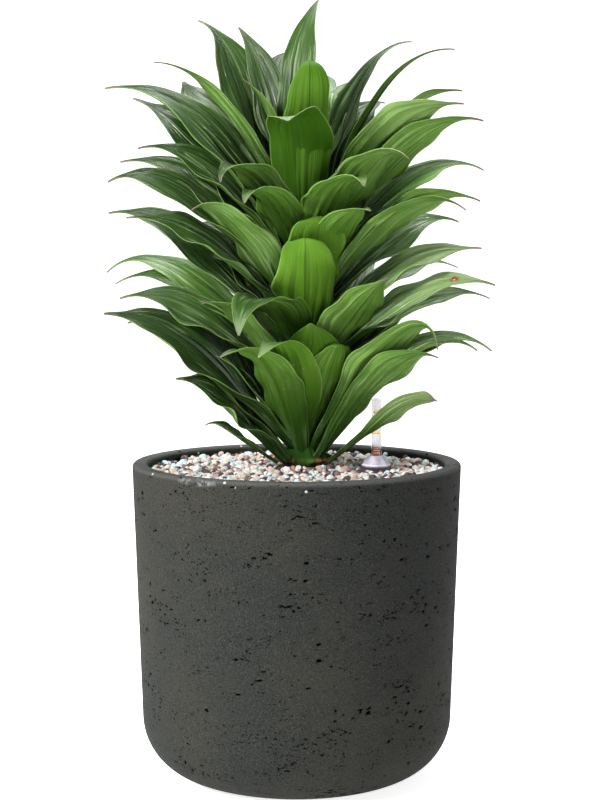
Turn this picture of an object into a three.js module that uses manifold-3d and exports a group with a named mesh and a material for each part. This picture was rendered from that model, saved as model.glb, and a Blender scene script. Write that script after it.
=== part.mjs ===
// A compact dracaena in a round-edged concrete pot, filled with mineral granules, with a clear
// water-level gauge standing in them. Millimetres, +Z up. The origin is the middle of the pot's
// underside, and -Y is the front.
import * as THREE from "three";
import { mergeVertices } from "three/addons/utils/BufferGeometryUtils.js";
import Module from "manifold-3d";

const wasm = await Module();
wasm.setup();

// ---- driving dimensions ----

const FIT_GAP = 0.3; // left between pieces that touch
const OVERSHOOT = 20; // how far a cut runs out past the surface it opens

const POT_HEIGHT = 220;
const POT_RIM_RADIUS = 115;
const POT_FOOT_RADIUS = 109; // where the straight wall meets the rounded bottom edge
const POT_EDGE_RADIUS = 42; // the rounded bottom edge
const POT_WALL = 11;
const POT_FLOOR = 14;
const RIM_ROUND = 2.5;
const POT_SIDES = 48;

const FILL_TOP = 213; // mean height of the granules
const GRANULE_RELIEF = 3; // how far single granules stand above or below it
const GRANULE_SCATTER = 0.3; // how far they stray from their lattice, as a share of its step
const FILL_RINGS = 19;
const FILL_SIDES = 58;

const ROOT_BALL_TOP = 213;
const ROOT_BALL_BOTTOM = 115;
const ROOT_BALL_TOP_RADIUS = 27;
const ROOT_BALL_BOTTOM_RADIUS = 36;
const ROOT_BALL_RELIEF = 2;
const ROOT_BALL_SHOULDER = 4; // how far its top edge is drawn in
const ROOT_BALL_LEVELS = [0, 0.3, 0.65, 0.95, 1];
const ROOT_BALL_SIDES = 18;

const PLANT_X = 5; // the stem's axis
const PLANT_Y = 4;
const STEM_RADIUS = 7.5;
const STEM_BOTTOM = 150; // the cane reaches down to here in the root ball
const STEM_SHOULDER = 400; // above this it narrows to the growing tip
const STEM_TOP = 420;
const STEM_SIDES = 9;
const COLLAR_TOP = 250; // the lowest leaves stand on a collar of old leaf bases, from here
const COLLAR_FOOT = 217.4; // down to just above the granules
const COLLAR_RADIUS = 15;
const COLLAR_ROUND = 1;
const COLLAR_STRETCH = 0.6; // how much wider it is from side to side at its foot, as a share
const COLLAR_WAIST = [9, 229]; // radius and height where its flare ends
const COLLAR_SPREAD = 40; // how much farther out the lowest leaf starts if it leaves level,
const COLLAR_STEEP = 60; // down to nothing for one that leaves this steeply

const BLADE_THICKNESS = 0.8;
const LEAF_FOOT_RADIUS = 4; // a leaf's folded foot starts inside the stem, this far from its axis
const MARGIN_WAVE = 0.06; // height of the waves in a leaf's margins, as a share of its width
const TWIST_DONE = 0.6; // share of the leaf over which its blade twists
const RISE_REACH = 0.42; // share of its span over which a leaf keeps the slope of its foot
const TIP_REACH = 0.22; // and over which it takes the slope of its tip, both longer in a bent leaf

const GAUGE_X = 56;
const GAUGE_Y = 2;
const GAUGE_SIDES = 14;
const GAUGE_CHAMFER = 0.8;
const TUBE_RADIUS = 3.7;
const TUBE_WALL = 0.8;
const TUBE_TOP = 264.5;
const TUBE_FOOT = 215;
const CAP_NECK = 5; // radius of the cap where the tube stands in it
const CAP_TOP = 224;
const CAP_EDGE = 217.5; // where the flare ends and the upright band starts
const CAP_BOTTOM = 207;
const CAP_RADIUS = 10.6;
const CAP_SIDES = 8;
const CASING_RADIUS = 8;
const CASING_WALL = 1.3;
const CASING_TOP = 212;
const CASING_FLOOR = 1.5;
const INLET_HEIGHT = 30; // slots that let the water in
const INLET_WIDTH = 2;
const FLOAT_RADIUS = 5.6;
const FLOAT_HEIGHT = 42;
const ROD_RADIUS = 1.4;
const POINTER_RADIUS = 2.2;
const POINTER_HEIGHT = 5;
const POINTER_TOP = 228.5;

// ---- the leaves ----

// One row a leaf, from the top of the plant down: the way it points, in degrees round the stem from
// +X, the height of its foot, how far its tip reaches from the stem, the height of its tip, the
// slope at its foot, the slope at its tip, how far its tip veers round, its width, the share of its
// length at which it is widest, and the twist of its blade in degrees.
const LEAVES = [
  [60, 386, 22, 542, 111, 37, 0, 29, 0.56, 0],
  [150, 372, 87, 532, 60, 24, 0, 36, 0.62, -15],
  [130, 380, 71, 527, 76, 43, 0, 29, 0.58, -15],
  [103, 384, 66, 511, 88, 40, -30, 36, 0.62, 0],
  [200, 392, 45, 483, 74, 20, 0, 15, 0.6, 0],
  [276, 362, 22, 496, 82, 180, 0, 33, 0.6, 0],
  [262, 340, 64, 456, 88, 30, 0, 43, 0.76, 0],
  [62, 375, 92, 494, 86, 20, 0, 32, 0.6, 0],
  [42, 352, 107, 519, 80, 2, 0, 26, 0.32, 10],
  [24, 352, 117, 512, 76, 1, 0, 20, 0.46, -25],
  [18, 382, 118, 481, 58, -5, 0, 26, 0.6, -25],
  [340, 380, 114, 464, 54, -18, 0, 40, 0.58, -25],
  [350, 368, 124, 456, 44, -18, 0, 36, 0.58, -28],
  [3, 340, 126, 424, 52, -28, 0, 35, 0.6, 25],
  [320, 362, 91, 428, 52, -40, 0, 40, 0.52, -15],
  [348, 328, 123, 401, 50, -28, 0, 34, 0.6, -25],
  [334, 320, 120, 396, 54, -34, 0, 28, 0.6, -15],
  [20, 312, 118, 390, 54, -12, 0, 40, 0.6, 28],
  [355, 292, 123, 367, 52, -16, 0, 36, 0.6, 28],
  [30, 288, 129, 354, 52, -30, 0, 28, 0.6, 20],
  [348, 272, 133, 343, 48, -26, 0, 38, 0.6, 28],
  [14, 266, 138, 333, 48, -26, 0, 26, 0.6, 20],
  [302, 352, 77, 410, 66, -45, 0, 42, 0.5, 0],
  [303, 318, 78, 396, 68, -5, 0, 38, 0.55, 0],
  [283, 300, 38, 388, 80, 200, 0, 42, 0.72, 0],
  [271, 280, 44, 374, 80, 200, 0, 42, 0.64, 0],
  [313, 268, 82, 350, 60, 30, 0, 38, 0.62, -15],
  [354, 238, 131, 298, 50, -42, 0, 34, 0.6, 20],
  [342, 232, 124, 301, 50, -32, 0, 30, 0.6, 15],
  [326, 224, 108, 302, 54, -80, 0, 40, 0.58, -20],
  [328, 218, 106, 297, 52, -18, 0, 34, 0.62, -25],
  [338, 219, 98, 267, 32, -8, 0, 24, 0.72, -28],
  [200, 387, 107, 492, 56, -11, 0, 22, 0.48, 0],
  [150, 350, 102, 488, 77, 11, -50, 38, 0.66, -20],
  [180, 324, 138, 480, 75, -8, 0, 38, 0.62, -28],
  [168, 320, 123, 475, 72, 20, 0, 44, 0.64, -32],
  [186, 352, 115, 438, 54, -14, 0, 30, 0.6, -30],
  [172, 342, 130, 429, 52, -16, 0, 32, 0.6, -28],
  [190, 330, 137, 417, 48, -18, 0, 36, 0.6, -32],
  [213, 322, 92, 395, 47, -29, 0, 40, 0.55, 10],
  [176, 290, 137, 394, 52, -10, 0, 42, 0.6, -28],
  [194, 312, 124, 388, 50, -16, 0, 32, 0.6, -28],
  [165, 280, 146, 352, 42, -44, 0, 26, 0.55, -28],
  [166, 274, 138, 343, 48, -36, 0, 22, 0.55, -25],
  [224, 366, 80, 413, 62, -68, 0, 34, 0.55, 0],
  [238, 350, 76, 399, 66, -57, 0, 34, 0.55, 0],
  [241, 284, 87, 312, 70, -92, 0, 38, 0.5, 0],
  [213, 262, 82, 333, 52, -10, 0, 30, 0.6, 0],
  [185, 260, 128, 334, 48, -22, 0, 36, 0.6, -30],
  [194, 228, 140, 323, 48, -8, 0, 52, 0.6, -32],
  [181, 219, 123, 316, 50, -24, 0, 38, 0.6, -30],
  [152, 224, 108, 297, 56, -88, 0, 36, 0.58, 10],
  [204, 219, 94, 279, 42, -14, 0, 43, 0.56, -32],
  [200, 219, 73, 249, 34, -14, 0, 12, 0.6, -20],
  [236, 218, 98, 298, 66, -30, -33, 36, 0.5, 0],
  [251, 219, 96, 299, 72, -45, -47, 34, 0.5, 0],
  [300, 228, 38, 300, 67, 215, 0, 34, 0.68, 0],
  [277, 236, 54, 319, 74, 60, 0, 54, 0.55, 0],
  [155, 346, 96, 436, 56, -5, 0, 40, 0.58, -22],
  [150, 300, 100, 386, 52, -10, 0, 40, 0.58, -22],
  [160, 228, 104, 335, 54, -10, 0, 42, 0.55, -25],
  [26, 340, 92, 425, 56, -5, 0, 40, 0.58, 22],
  [24, 228, 100, 335, 54, -10, 0, 42, 0.55, 22],
];

// The back of the plant, which follows the stem's spiral: each leaf is a golden angle round from
// the last, folded into the sector behind the stem.
const BACK_LEAVES = 10;
const BACK_SECTOR = [48, 132];
const GOLDEN_ANGLE = 137.5;
// Sizes of the lowest and the highest of them, between which the others lie.
const BACK_FEET = [222, 396];
const BACK_REACH = [118, 88];
const BACK_CLIMB = [78, 92]; // height of the tip over the foot
const BACK_RISE = [58, 70];
const BACK_FALL = [-25, -5];
const BACK_WIDTH = 42;
const BACK_WIDEST = 0.6;
// How far single ones stray from those sizes.
const REACH_STRAY = 14;
const CLIMB_STRAY = 12;
const TWIST_STRAY = 40;

// Width along a leaf that is widest at WIDEST, as a share of its greatest width. Other leaves have
// this outline drawn out or pushed together on each side of their widest place.
const WIDEST = 0.68;
const WIDTH_ALONG = [
  [0, 0.27],
  [0.14, 0.34],
  [0.32, 0.6],
  [0.52, 0.9],
  [WIDEST, 1],
  [0.86, 0.62],
  [1, 0.03],
];

// How far a blade is folded up about its midrib along the leaf, as half the angle of its section.
const FOLD_ALONG = [
  [0, 85],
  [0.15, 60],
  [0.5, 28],
  [0.75, 17],
  [1, 30],
];

// ---- helpers ----

const radians = THREE.MathUtils.degToRad;

// A repeatable draw of numbers from 0 to 1.
function seeded(seed) {
  let state = seed;
  return () => {
    state = (state * 1664525 + 1013904223) % 4294967296;
    return state / 4294967296;
  };
}

// A geometry as a solid that can be joined and cut.
function solidOf(geometry) {
  const bare = geometry.clone();
  bare.deleteAttribute("normal");
  bare.deleteAttribute("uv");
  const merged = mergeVertices(bare, 1e-4);
  const mesh = new wasm.Mesh({
    numProp: 3,
    vertProperties: new Float32Array(merged.attributes.position.array),
    triVerts: new Uint32Array(merged.index.array),
  });
  return new wasm.Manifold(mesh);
}

function geometryOf(solid) {
  const mesh = solid.getMesh();
  const geometry = new THREE.BufferGeometry();
  geometry.setAttribute("position", new THREE.BufferAttribute(mesh.vertProperties, 3));
  geometry.setIndex(new THREE.BufferAttribute(mesh.triVerts, 1));
  geometry.computeVertexNormals();
  return geometry;
}

// A geometry from points and the triangles between them.
function meshOf(points, triangles) {
  const geometry = new THREE.BufferGeometry();
  geometry.setAttribute("position", new THREE.Float32BufferAttribute(points.flat(), 3));
  geometry.setIndex(triangles.flat());
  return geometry;
}

// A profile of [radius, height] pairs turned round an upright axis, listed so that the solid lies
// on the left of the way it runs.
function turned(profile, sides, x = 0, y = 0) {
  const points = profile.map(([radius, height]) => new THREE.Vector2(radius, height));
  const geometry = new THREE.LatheGeometry(points, sides);
  geometry.rotateX(Math.PI / 2);
  geometry.translate(x, y, 0);
  return geometry;
}

// Points of an arc in a profile, from one angle to another in degrees.
function arc(radius, height, size, from, to, steps) {
  return Array.from({ length: steps + 1 }, (_, i) => {
    const angle = radians(from + ((to - from) * i) / steps);
    return [radius + size * Math.cos(angle), height + size * Math.sin(angle)];
  });
}

// Rings of points, each with the same number, skinned into one closed surface whose two ends run
// in to a point.
function skinned(rings, first, last) {
  const sides = rings[0].length;
  const points = [first, ...rings.flat(), last];
  const at = (ring, side) => 1 + ring * sides + (side % sides);
  const end = points.length - 1;
  const triangles = [];
  for (let side = 0; side < sides; side++) {
    triangles.push([0, at(0, side + 1), at(0, side)]);
    triangles.push([end, at(rings.length - 1, side), at(rings.length - 1, side + 1)]);
  }
  for (let ring = 0; ring + 1 < rings.length; ring++) {
    for (let side = 0; side < sides; side++) {
      triangles.push([at(ring, side), at(ring, side + 1), at(ring + 1, side + 1)]);
      triangles.push([at(ring, side), at(ring + 1, side + 1), at(ring + 1, side)]);
    }
  }
  return meshOf(points, triangles);
}

// The value at x on the line through a list of [x, value] pairs.
function along(pairs, x) {
  const next = Math.max(1, pairs.findIndex(([at]) => at >= x));
  const [x0, y0] = pairs[next - 1];
  const [x1, y1] = pairs[next];
  return y0 + ((y1 - y0) * (x - x0)) / (x1 - x0);
}

function smoothStep(x) {
  const held = Math.min(1, Math.max(0, x));
  return held * held * (3 - 2 * held);
}

// ---- pot ----

// The inside of the pot from the axis out to the wall, drawn in by a gap.
function potInside(gap) {
  const edge = POT_EDGE_RADIUS - POT_WALL;
  const middle = POT_FOOT_RADIUS - POT_EDGE_RADIUS;
  return [[0, POT_FLOOR + gap], ...arc(middle, POT_FLOOR + edge, edge - gap, -90, 0, 4)];
}

// The inner radius of the wall at a height above the rounded edge.
function innerRadius(height) {
  const foot = POT_FLOOR + POT_EDGE_RADIUS - POT_WALL;
  const share = (height - foot) / (POT_HEIGHT - foot);
  return POT_FOOT_RADIUS - POT_WALL + share * (POT_RIM_RADIUS - POT_FOOT_RADIUS);
}

function potGeometry() {
  const edgeMiddle = POT_FOOT_RADIUS - POT_EDGE_RADIUS;
  const roundHeight = POT_HEIGHT - RIM_ROUND;
  return turned(
    [
      [0, 0],
      ...arc(edgeMiddle, POT_EDGE_RADIUS, POT_EDGE_RADIUS, -90, 0, 7),
      ...arc(POT_RIM_RADIUS - RIM_ROUND, roundHeight, RIM_ROUND, 0, 90, 2),
      ...arc(POT_RIM_RADIUS - POT_WALL + RIM_ROUND, roundHeight, RIM_ROUND, 90, 180, 2),
      ...potInside(0).reverse(),
    ],
    POT_SIDES,
  );
}

// ---- granules ----

// The fill takes the pot's inside up to FILL_TOP, where single granules stand up and down, each
// off its own place in a lattice of rings.
function fillSolid() {
  const draw = seeded(11);
  const outer = innerRadius(FILL_TOP) - FIT_GAP;
  const step = outer / FILL_RINGS;
  const stray = (size) => (2 * draw() - 1) * size;
  const ring = (radius, height, loose) =>
    Array.from({ length: FILL_SIDES }, (_, side) => {
      const angle = (2 * Math.PI * (side + stray(GRANULE_SCATTER * loose))) / FILL_SIDES;
      const away = radius + stray(GRANULE_SCATTER * step * loose);
      const lift = stray(GRANULE_RELIEF * loose);
      return [away * Math.cos(angle), away * Math.sin(angle), height + lift];
    });
  const under = potInside(FIT_GAP).slice(1);
  const rings = under.map(([radius, height]) => ring(radius, height, 0));
  for (let i = FILL_RINGS; i > 0; i--) rings.push(ring(step * i, FILL_TOP, i < FILL_RINGS ? 1 : 0));
  return solidOf(skinned(rings, [0, 0, POT_FLOOR + FIT_GAP], [0, 0, FILL_TOP]));
}

function fillGeometry() {
  const room = solidOf(gaugeRoomGeometry());
  return geometryOf(fillSolid().subtract(rootBallSolid(FIT_GAP)).subtract(room));
}

// ---- root ball ----

// A lumpy cone frustum round the foot of the stem, wider below, grown by a gap where it is used to
// cut its own place out of the granules.
function rootBallSolid(gap) {
  const draw = seeded(5);
  const last = ROOT_BALL_LEVELS.length - 1;
  const rings = ROOT_BALL_LEVELS.map((level, row) => {
    const inset = row === last ? ROOT_BALL_SHOULDER : 0;
    const narrowing = level * (ROOT_BALL_BOTTOM_RADIUS - ROOT_BALL_TOP_RADIUS);
    const height = ROOT_BALL_BOTTOM + level * (ROOT_BALL_TOP - ROOT_BALL_BOTTOM);
    return Array.from({ length: ROOT_BALL_SIDES }, (_, side) => {
      const angle = (2 * Math.PI * side) / ROOT_BALL_SIDES;
      const lump = (2 * draw() - 1) * ROOT_BALL_RELIEF;
      const radius = ROOT_BALL_BOTTOM_RADIUS - narrowing - inset + lump + gap;
      const end = row === 0 ? -gap : row === last ? gap : 0;
      return [
        PLANT_X + radius * Math.cos(angle),
        PLANT_Y + radius * Math.sin(angle),
        height + end,
      ];
    });
  });
  const top = ROOT_BALL_TOP + (gap > 0 ? OVERSHOOT : 0);
  const foot = [PLANT_X, PLANT_Y, ROOT_BALL_BOTTOM - gap];
  return solidOf(skinned(rings, foot, [PLANT_X, PLANT_Y, top]));
}

function rootBallGeometry() {
  const hole = turned(
    [
      [0, STEM_BOTTOM - FIT_GAP],
      [STEM_RADIUS + 2 * FIT_GAP, STEM_BOTTOM - FIT_GAP],
      [STEM_RADIUS + 2 * FIT_GAP, FILL_TOP + OVERSHOOT],
      [0, FILL_TOP + OVERSHOOT],
    ],
    STEM_SIDES,
    PLANT_X,
    PLANT_Y,
  );
  return geometryOf(rootBallSolid(0).subtract(solidOf(hole)));
}

// ---- leafy stem ----

// A blade swept along its midrib. The midrib is a curve from the stem to the tip with the slope
// given at each end. The section is an arc folded up about the midrib, three points wide, and the
// margins rise and fall in a wave.
function leafSolid([turn, foot, reach, tip, rise, fall, veer, width, full, twist], phase) {
  const level = (angle) => new THREE.Vector3(Math.cos(angle), Math.sin(angle), 0);
  const away = radians(turn);
  const up = new THREE.Vector3(0, 0, 1);
  const axis = new THREE.Vector3(PLANT_X, PLANT_Y, 0);
  const low = Math.min(1, Math.max(0, (COLLAR_TOP - foot) / (COLLAR_TOP - COLLAR_FOOT)));
  const flatness = Math.max(0, 1 - rise / COLLAR_STEEP);
  const footRadius = LEAF_FOOT_RADIUS + COLLAR_SPREAD * low * flatness;
  const start = axis.clone().addScaledVector(level(away), footRadius).addScaledVector(up, foot);
  const end = axis.clone().addScaledVector(level(away), reach).addScaledVector(up, tip);
  const sloping = (heading, slope) => {
    const run = level(heading).multiplyScalar(Math.cos(radians(slope)));
    return run.addScaledVector(up, Math.sin(radians(slope)));
  };
  const bent = ((rise - fall) / 180) ** 2;
  const span = start.distanceTo(end) * (1 + bent);
  const midrib = new THREE.CubicBezierCurve3(
    start,
    start.clone().addScaledVector(sloping(away, rise), RISE_REACH * span),
    end.clone().addScaledVector(sloping(away + radians(veer), fall), -TIP_REACH * span),
    end,
  );
  const flat = level(away + Math.PI / 2);
  const upper = [];
  const lower = [];
  for (const [place, wide] of WIDTH_ALONG) {
    const share = along([[0, 0], [WIDEST, full], [1, 1]], place);
    const middle = midrib.getPointAt(share);
    const tangent = midrib.getTangentAt(share);
    const roll = radians(twist) * smoothStep(share / TWIST_DONE);
    const across = flat
      .clone()
      .addScaledVector(tangent, -tangent.dot(flat))
      .normalize()
      .applyAxisAngle(tangent, roll);
    const face = tangent.clone().cross(across);
    const fold = radians(along(FOLD_ALONG, share));
    const bend = (width * wide) / 2 / fold;
    const wave = MARGIN_WAVE * width * wide * Math.sin(2 * Math.PI * (2 * share + phase));
    for (const side of [-1, 0, 1]) {
      const angle = side * fold;
      const point = middle
        .clone()
        .addScaledVector(across, bend * Math.sin(angle))
        .addScaledVector(face, bend * (1 - Math.cos(angle)) + side * wave);
      const outward = across
        .clone()
        .multiplyScalar(Math.sin(angle))
        .addScaledVector(face, -Math.cos(angle));
      upper.push(point.toArray());
      lower.push(point.clone().addScaledVector(outward, BLADE_THICKNESS).toArray());
    }
  }
  return solidOf(meshOf([...upper, ...lower], bladeTriangles(WIDTH_ALONG.length)));
}

// The triangles of a blade whose upper points come first, three to a station, then its lower ones
// in the same order. Both faces are split the same way.
function bladeTriangles(stations) {
  const under = 3 * stations;
  const triangles = [];
  for (let row = 0; row + 1 < stations; row++) {
    const a = 3 * row;
    for (const i of [a, a + 1]) {
      const j = under + i;
      triangles.push([i, i + 4, i + 1], [i, i + 3, i + 4]);
      triangles.push([j, j + 1, j + 4], [j, j + 4, j + 3]);
    }
    triangles.push([a, under + a + 3, a + 3], [a, under + a, under + a + 3]);
    const b = a + 2;
    triangles.push([b, under + b + 3, under + b], [b, b + 3, under + b + 3]);
  }
  const z = 3 * (stations - 1);
  for (const i of [0, 1]) {
    const k = z + i;
    triangles.push([i, under + i + 1, under + i], [i, i + 1, under + i + 1]);
    triangles.push([k, under + k + 1, k + 1], [k, under + k, under + k + 1]);
  }
  return triangles;
}

function backLeaves() {
  const draw = seeded(3);
  const between = ([first, last], share) => first + (last - first) * share;
  return Array.from({ length: BACK_LEAVES }, (_, i) => {
    const share = i / (BACK_LEAVES - 1);
    const spiral = (i * GOLDEN_ANGLE) / 360;
    const turn = between(BACK_SECTOR, spiral - Math.floor(spiral));
    const foot = between(BACK_FEET, share);
    const reach = between(BACK_REACH, share) + REACH_STRAY * draw();
    const tip = foot + between(BACK_CLIMB, share) + CLIMB_STRAY * draw();
    const rise = between(BACK_RISE, share);
    const fall = between(BACK_FALL, share);
    const twist = TWIST_STRAY * (draw() - 0.5);
    return [turn, foot, reach, tip, rise, fall, 0, BACK_WIDTH, BACK_WIDEST, twist];
  });
}

function leafyStemGeometry() {
  const ring = (radius, height, stretch = 1) =>
    Array.from({ length: STEM_SIDES }, (_, side) => {
      const angle = (2 * Math.PI * side) / STEM_SIDES;
      const x = PLANT_X + stretch * radius * Math.cos(angle);
      return [x, PLANT_Y + radius * Math.sin(angle), height];
    });
  const rings = [
    ring(STEM_RADIUS, STEM_BOTTOM),
    ring(STEM_RADIUS, COLLAR_FOOT - COLLAR_ROUND),
    ring(COLLAR_RADIUS, COLLAR_FOOT, 1 + COLLAR_STRETCH),
    ring(...COLLAR_WAIST),
    ring(STEM_RADIUS, COLLAR_TOP),
    ring(STEM_RADIUS, STEM_SHOULDER),
    ring(STEM_RADIUS / 2, STEM_TOP),
  ];
  const stem = skinned(rings, [PLANT_X, PLANT_Y, STEM_BOTTOM], [PLANT_X, PLANT_Y, STEM_TOP]);
  const leaves = [...LEAVES, ...backLeaves()];
  const joined = leaves.reduce(
    (whole, leaf, i) => whole.add(leafSolid(leaf, (i * GOLDEN_ANGLE) / 360)),
    solidOf(stem),
  );
  // Where blades close off a pocket between them, it is filled.
  const bodies = joined.decompose();
  return geometryOf(bodies.reduce((most, body) => (body.volume() > most.volume() ? body : most)));
}

// ---- water gauge ----

// The room that the gauge stands in, down through the granules to the pot's floor.
function gaugeRoomGeometry() {
  const casing = CASING_RADIUS + 2 * FIT_GAP;
  const cap = CAP_RADIUS + 2 * FIT_GAP;
  return turned(
    [
      [0, POT_FLOOR - 1],
      [casing, POT_FLOOR - 1],
      [casing, CAP_BOTTOM - FIT_GAP],
      [cap, CAP_BOTTOM - FIT_GAP],
      [cap, FILL_TOP + OVERSHOOT],
      [0, FILL_TOP + OVERSHOOT],
    ],
    2 * GAUGE_SIDES,
    GAUGE_X,
    GAUGE_Y,
  );
}

// A tube open at the top, with a hole in its floor and slots round its foot for the water.
function casingGeometry() {
  const inner = CASING_RADIUS - CASING_WALL;
  const bottom = POT_FLOOR + FIT_GAP;
  const tube = turned(
    [
      [ROD_RADIUS + 1, bottom],
      [CASING_RADIUS, bottom],
      [CASING_RADIUS, CASING_TOP],
      [inner, CASING_TOP],
      [inner, bottom + CASING_FLOOR],
      [ROD_RADIUS + 1, bottom + CASING_FLOOR],
      [ROD_RADIUS + 1, bottom],
    ],
    GAUGE_SIDES,
    GAUGE_X,
    GAUGE_Y,
  );
  const slot = new THREE.BoxGeometry(3 * CASING_RADIUS, INLET_WIDTH, INLET_HEIGHT);
  slot.translate(GAUGE_X, GAUGE_Y, bottom + 2 * CASING_FLOOR + INLET_HEIGHT / 2);
  return geometryOf(solidOf(tube).subtract(solidOf(slot)));
}

// The flared eight-sided cap over the casing, with a socket for the clear tube.
function capGeometry() {
  const flats = Math.cos(Math.PI / CAP_SIDES); // a flat's distance as a share of a corner's
  const overCasing = (CASING_RADIUS + FIT_GAP) / flats;
  const ledge = CASING_TOP + FIT_GAP;
  const socket = (TUBE_RADIUS + FIT_GAP) / flats;
  const seat = (TUBE_RADIUS - TUBE_WALL) / flats;
  return turned(
    [
      [overCasing, CAP_BOTTOM],
      [CAP_RADIUS, CAP_BOTTOM],
      [CAP_RADIUS, CAP_EDGE],
      [CAP_NECK, CAP_TOP],
      [socket, CAP_TOP],
      [socket, TUBE_FOOT - FIT_GAP],
      [seat, TUBE_FOOT - FIT_GAP],
      [seat, ledge],
      [overCasing, ledge],
      [overCasing, CAP_BOTTOM],
    ],
    CAP_SIDES,
    GAUGE_X,
    GAUGE_Y,
  );
}

function tubeGeometry() {
  const inner = TUBE_RADIUS - TUBE_WALL;
  return turned(
    [
      [0, TUBE_TOP - TUBE_WALL],
      [inner, TUBE_TOP - TUBE_WALL],
      [inner, TUBE_FOOT],
      [TUBE_RADIUS, TUBE_FOOT],
      [TUBE_RADIUS, TUBE_TOP - GAUGE_CHAMFER],
      [TUBE_RADIUS - GAUGE_CHAMFER, TUBE_TOP],
      [0, TUBE_TOP],
    ],
    GAUGE_SIDES,
    GAUGE_X,
    GAUGE_Y,
  );
}

// The float and its rod, which rest on the casing's floor when the pot is dry.
function floatGeometry() {
  const bottom = POT_FLOOR + CASING_FLOOR + 2 * FIT_GAP;
  return turned(
    [
      [0, bottom],
      [FLOAT_RADIUS - 1, bottom],
      [FLOAT_RADIUS, bottom + 1],
      [FLOAT_RADIUS, bottom + FLOAT_HEIGHT - 3],
      [ROD_RADIUS, bottom + FLOAT_HEIGHT],
      [ROD_RADIUS, POINTER_TOP - POINTER_HEIGHT - FIT_GAP],
      [0, POINTER_TOP - POINTER_HEIGHT - FIT_GAP],
    ],
    GAUGE_SIDES,
    GAUGE_X,
    GAUGE_Y,
  );
}

function pointerGeometry() {
  const bottom = POINTER_TOP - POINTER_HEIGHT;
  return turned(
    [
      [0, bottom],
      [POINTER_RADIUS, bottom],
      [POINTER_RADIUS, POINTER_TOP - GAUGE_CHAMFER],
      [POINTER_RADIUS - GAUGE_CHAMFER, POINTER_TOP],
      [0, POINTER_TOP],
    ],
    GAUGE_SIDES,
    GAUGE_X,
    GAUGE_Y,
  );
}

// ---- the whole plant ----

function piece(name, geometry, look) {
  const mesh = new THREE.Mesh(geometry, new THREE.MeshStandardMaterial(look));
  mesh.name = name;
  return mesh;
}

const clear = { transparent: true, opacity: 0.4 };
const pottedDracaena = new THREE.Group();
pottedDracaena.add(
  piece("pot", potGeometry(), { color: 0x3e403c, roughness: 0.9 }),
  piece("granules", fillGeometry(), { color: 0xd9c8bd, roughness: 0.95 }),
  piece("root_ball", rootBallGeometry(), { color: 0x5b3a28, roughness: 1 }),
  piece("leafy_stem", leafyStemGeometry(), { color: 0x3f7a1f, roughness: 0.4 }),
  piece("gauge_casing", casingGeometry(), { color: 0x5a4b5f, roughness: 0.5 }),
  piece("gauge_cap", capGeometry(), { color: 0xc8c3d7, roughness: 0.25 }),
  piece("gauge_tube", tubeGeometry(), { color: 0xe4e2e6, roughness: 0.1, ...clear }),
  piece("gauge_float", floatGeometry(), { color: 0xd8d5d0, roughness: 0.5 }),
  piece("gauge_pointer", pointerGeometry(), { color: 0x96141e, roughness: 0.4 }),
);

export default pottedDracaena;
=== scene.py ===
"""A compact dracaena in a round-edged concrete pot, filled with mineral granules, with a clear water
gauge. Sizes are in millimetres in the part's own frame: +Z up, -Y to the front, the origin in the
middle of the pot's underside. Meshes are scaled to metres where they are made, and the materials
read places in metres."""

import bpy
import numpy as np
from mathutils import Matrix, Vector


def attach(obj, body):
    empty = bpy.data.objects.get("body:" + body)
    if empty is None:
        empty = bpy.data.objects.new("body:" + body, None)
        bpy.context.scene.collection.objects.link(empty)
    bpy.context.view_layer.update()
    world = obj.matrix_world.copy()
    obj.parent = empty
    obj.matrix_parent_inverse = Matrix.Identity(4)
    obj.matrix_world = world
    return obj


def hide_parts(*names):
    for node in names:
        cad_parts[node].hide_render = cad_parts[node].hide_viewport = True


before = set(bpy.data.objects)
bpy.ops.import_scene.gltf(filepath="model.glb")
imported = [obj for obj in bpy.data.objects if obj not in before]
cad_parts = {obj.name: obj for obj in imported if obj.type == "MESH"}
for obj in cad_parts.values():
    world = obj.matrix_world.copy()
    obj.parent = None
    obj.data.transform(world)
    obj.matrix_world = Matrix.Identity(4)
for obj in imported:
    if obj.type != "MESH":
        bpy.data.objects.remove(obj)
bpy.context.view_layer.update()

# ---- Pot ----
# A thick-walled round planter of dark cast concrete with a rounded bottom edge. It is cast in a
# mould, which leaves small air pits in the skin, often in short level rows.

POT_HEIGHT = 220
POT_RIM_RADIUS = 115
POT_FOOT_RADIUS = 109
POT_EDGE = 42  # radius of the rounded bottom edge
POT_WALL = 11
POT_FLOOR = 14
RIM_ROUND = 2.5
INNER_KNEE, INNER_LEAN = 190, 1.5  # down to the knee, the inner wall leans in by this much
POT_SIDES = 400
PIT_COUNT = 1300
PIT_ROWS = 170
ROW_SPAN = (70, 305)  # where rows of pits lie on the section, measured from its middle outwards
ROW_SPREAD = (9, 2.2)  # how far a row's pits stray along it and across it
LONE_SPAN, LONE_SHARE = (40, 315), 0.45  # pits that belong to no row
PIT_HALF_WIDTHS = (0.7, 2.2)  # the least and the most
PIT_DEEPEST = 1.4
PIT_RINGS, PIT_COLUMNS = 4, 3  # the rings and sides that a pit can reach each way
CEMENT = (0.013, 0.017, 0.017), (0.026, 0.026, 0.021)  # the cloudy skin, from dark to light
FINE_SPECKS = (0.045, 0.045, 0.039)
PALE_GRIT, DARK_GRIT = (0.1, 0.1, 0.09), (0.006, 0.007, 0.008)
PAINTED_RIM_LIGHT = (0.11, 0.115, 0.11)
SHADED_SIDE, PIT_SHADE = (0.0, 0.0, 0.0), (0.001, 0.001, 0.001)
SCUFFED, RUBBED, CHIPPED = (0.25, 0.25, 0.23), (0.3, 0.32, 0.33), (0.5, 0.5, 0.46)
RUB_PLACE = (-0.065, -0.095, 0.2178)  # the largest rub, in metres, on the front left of the rim


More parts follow.
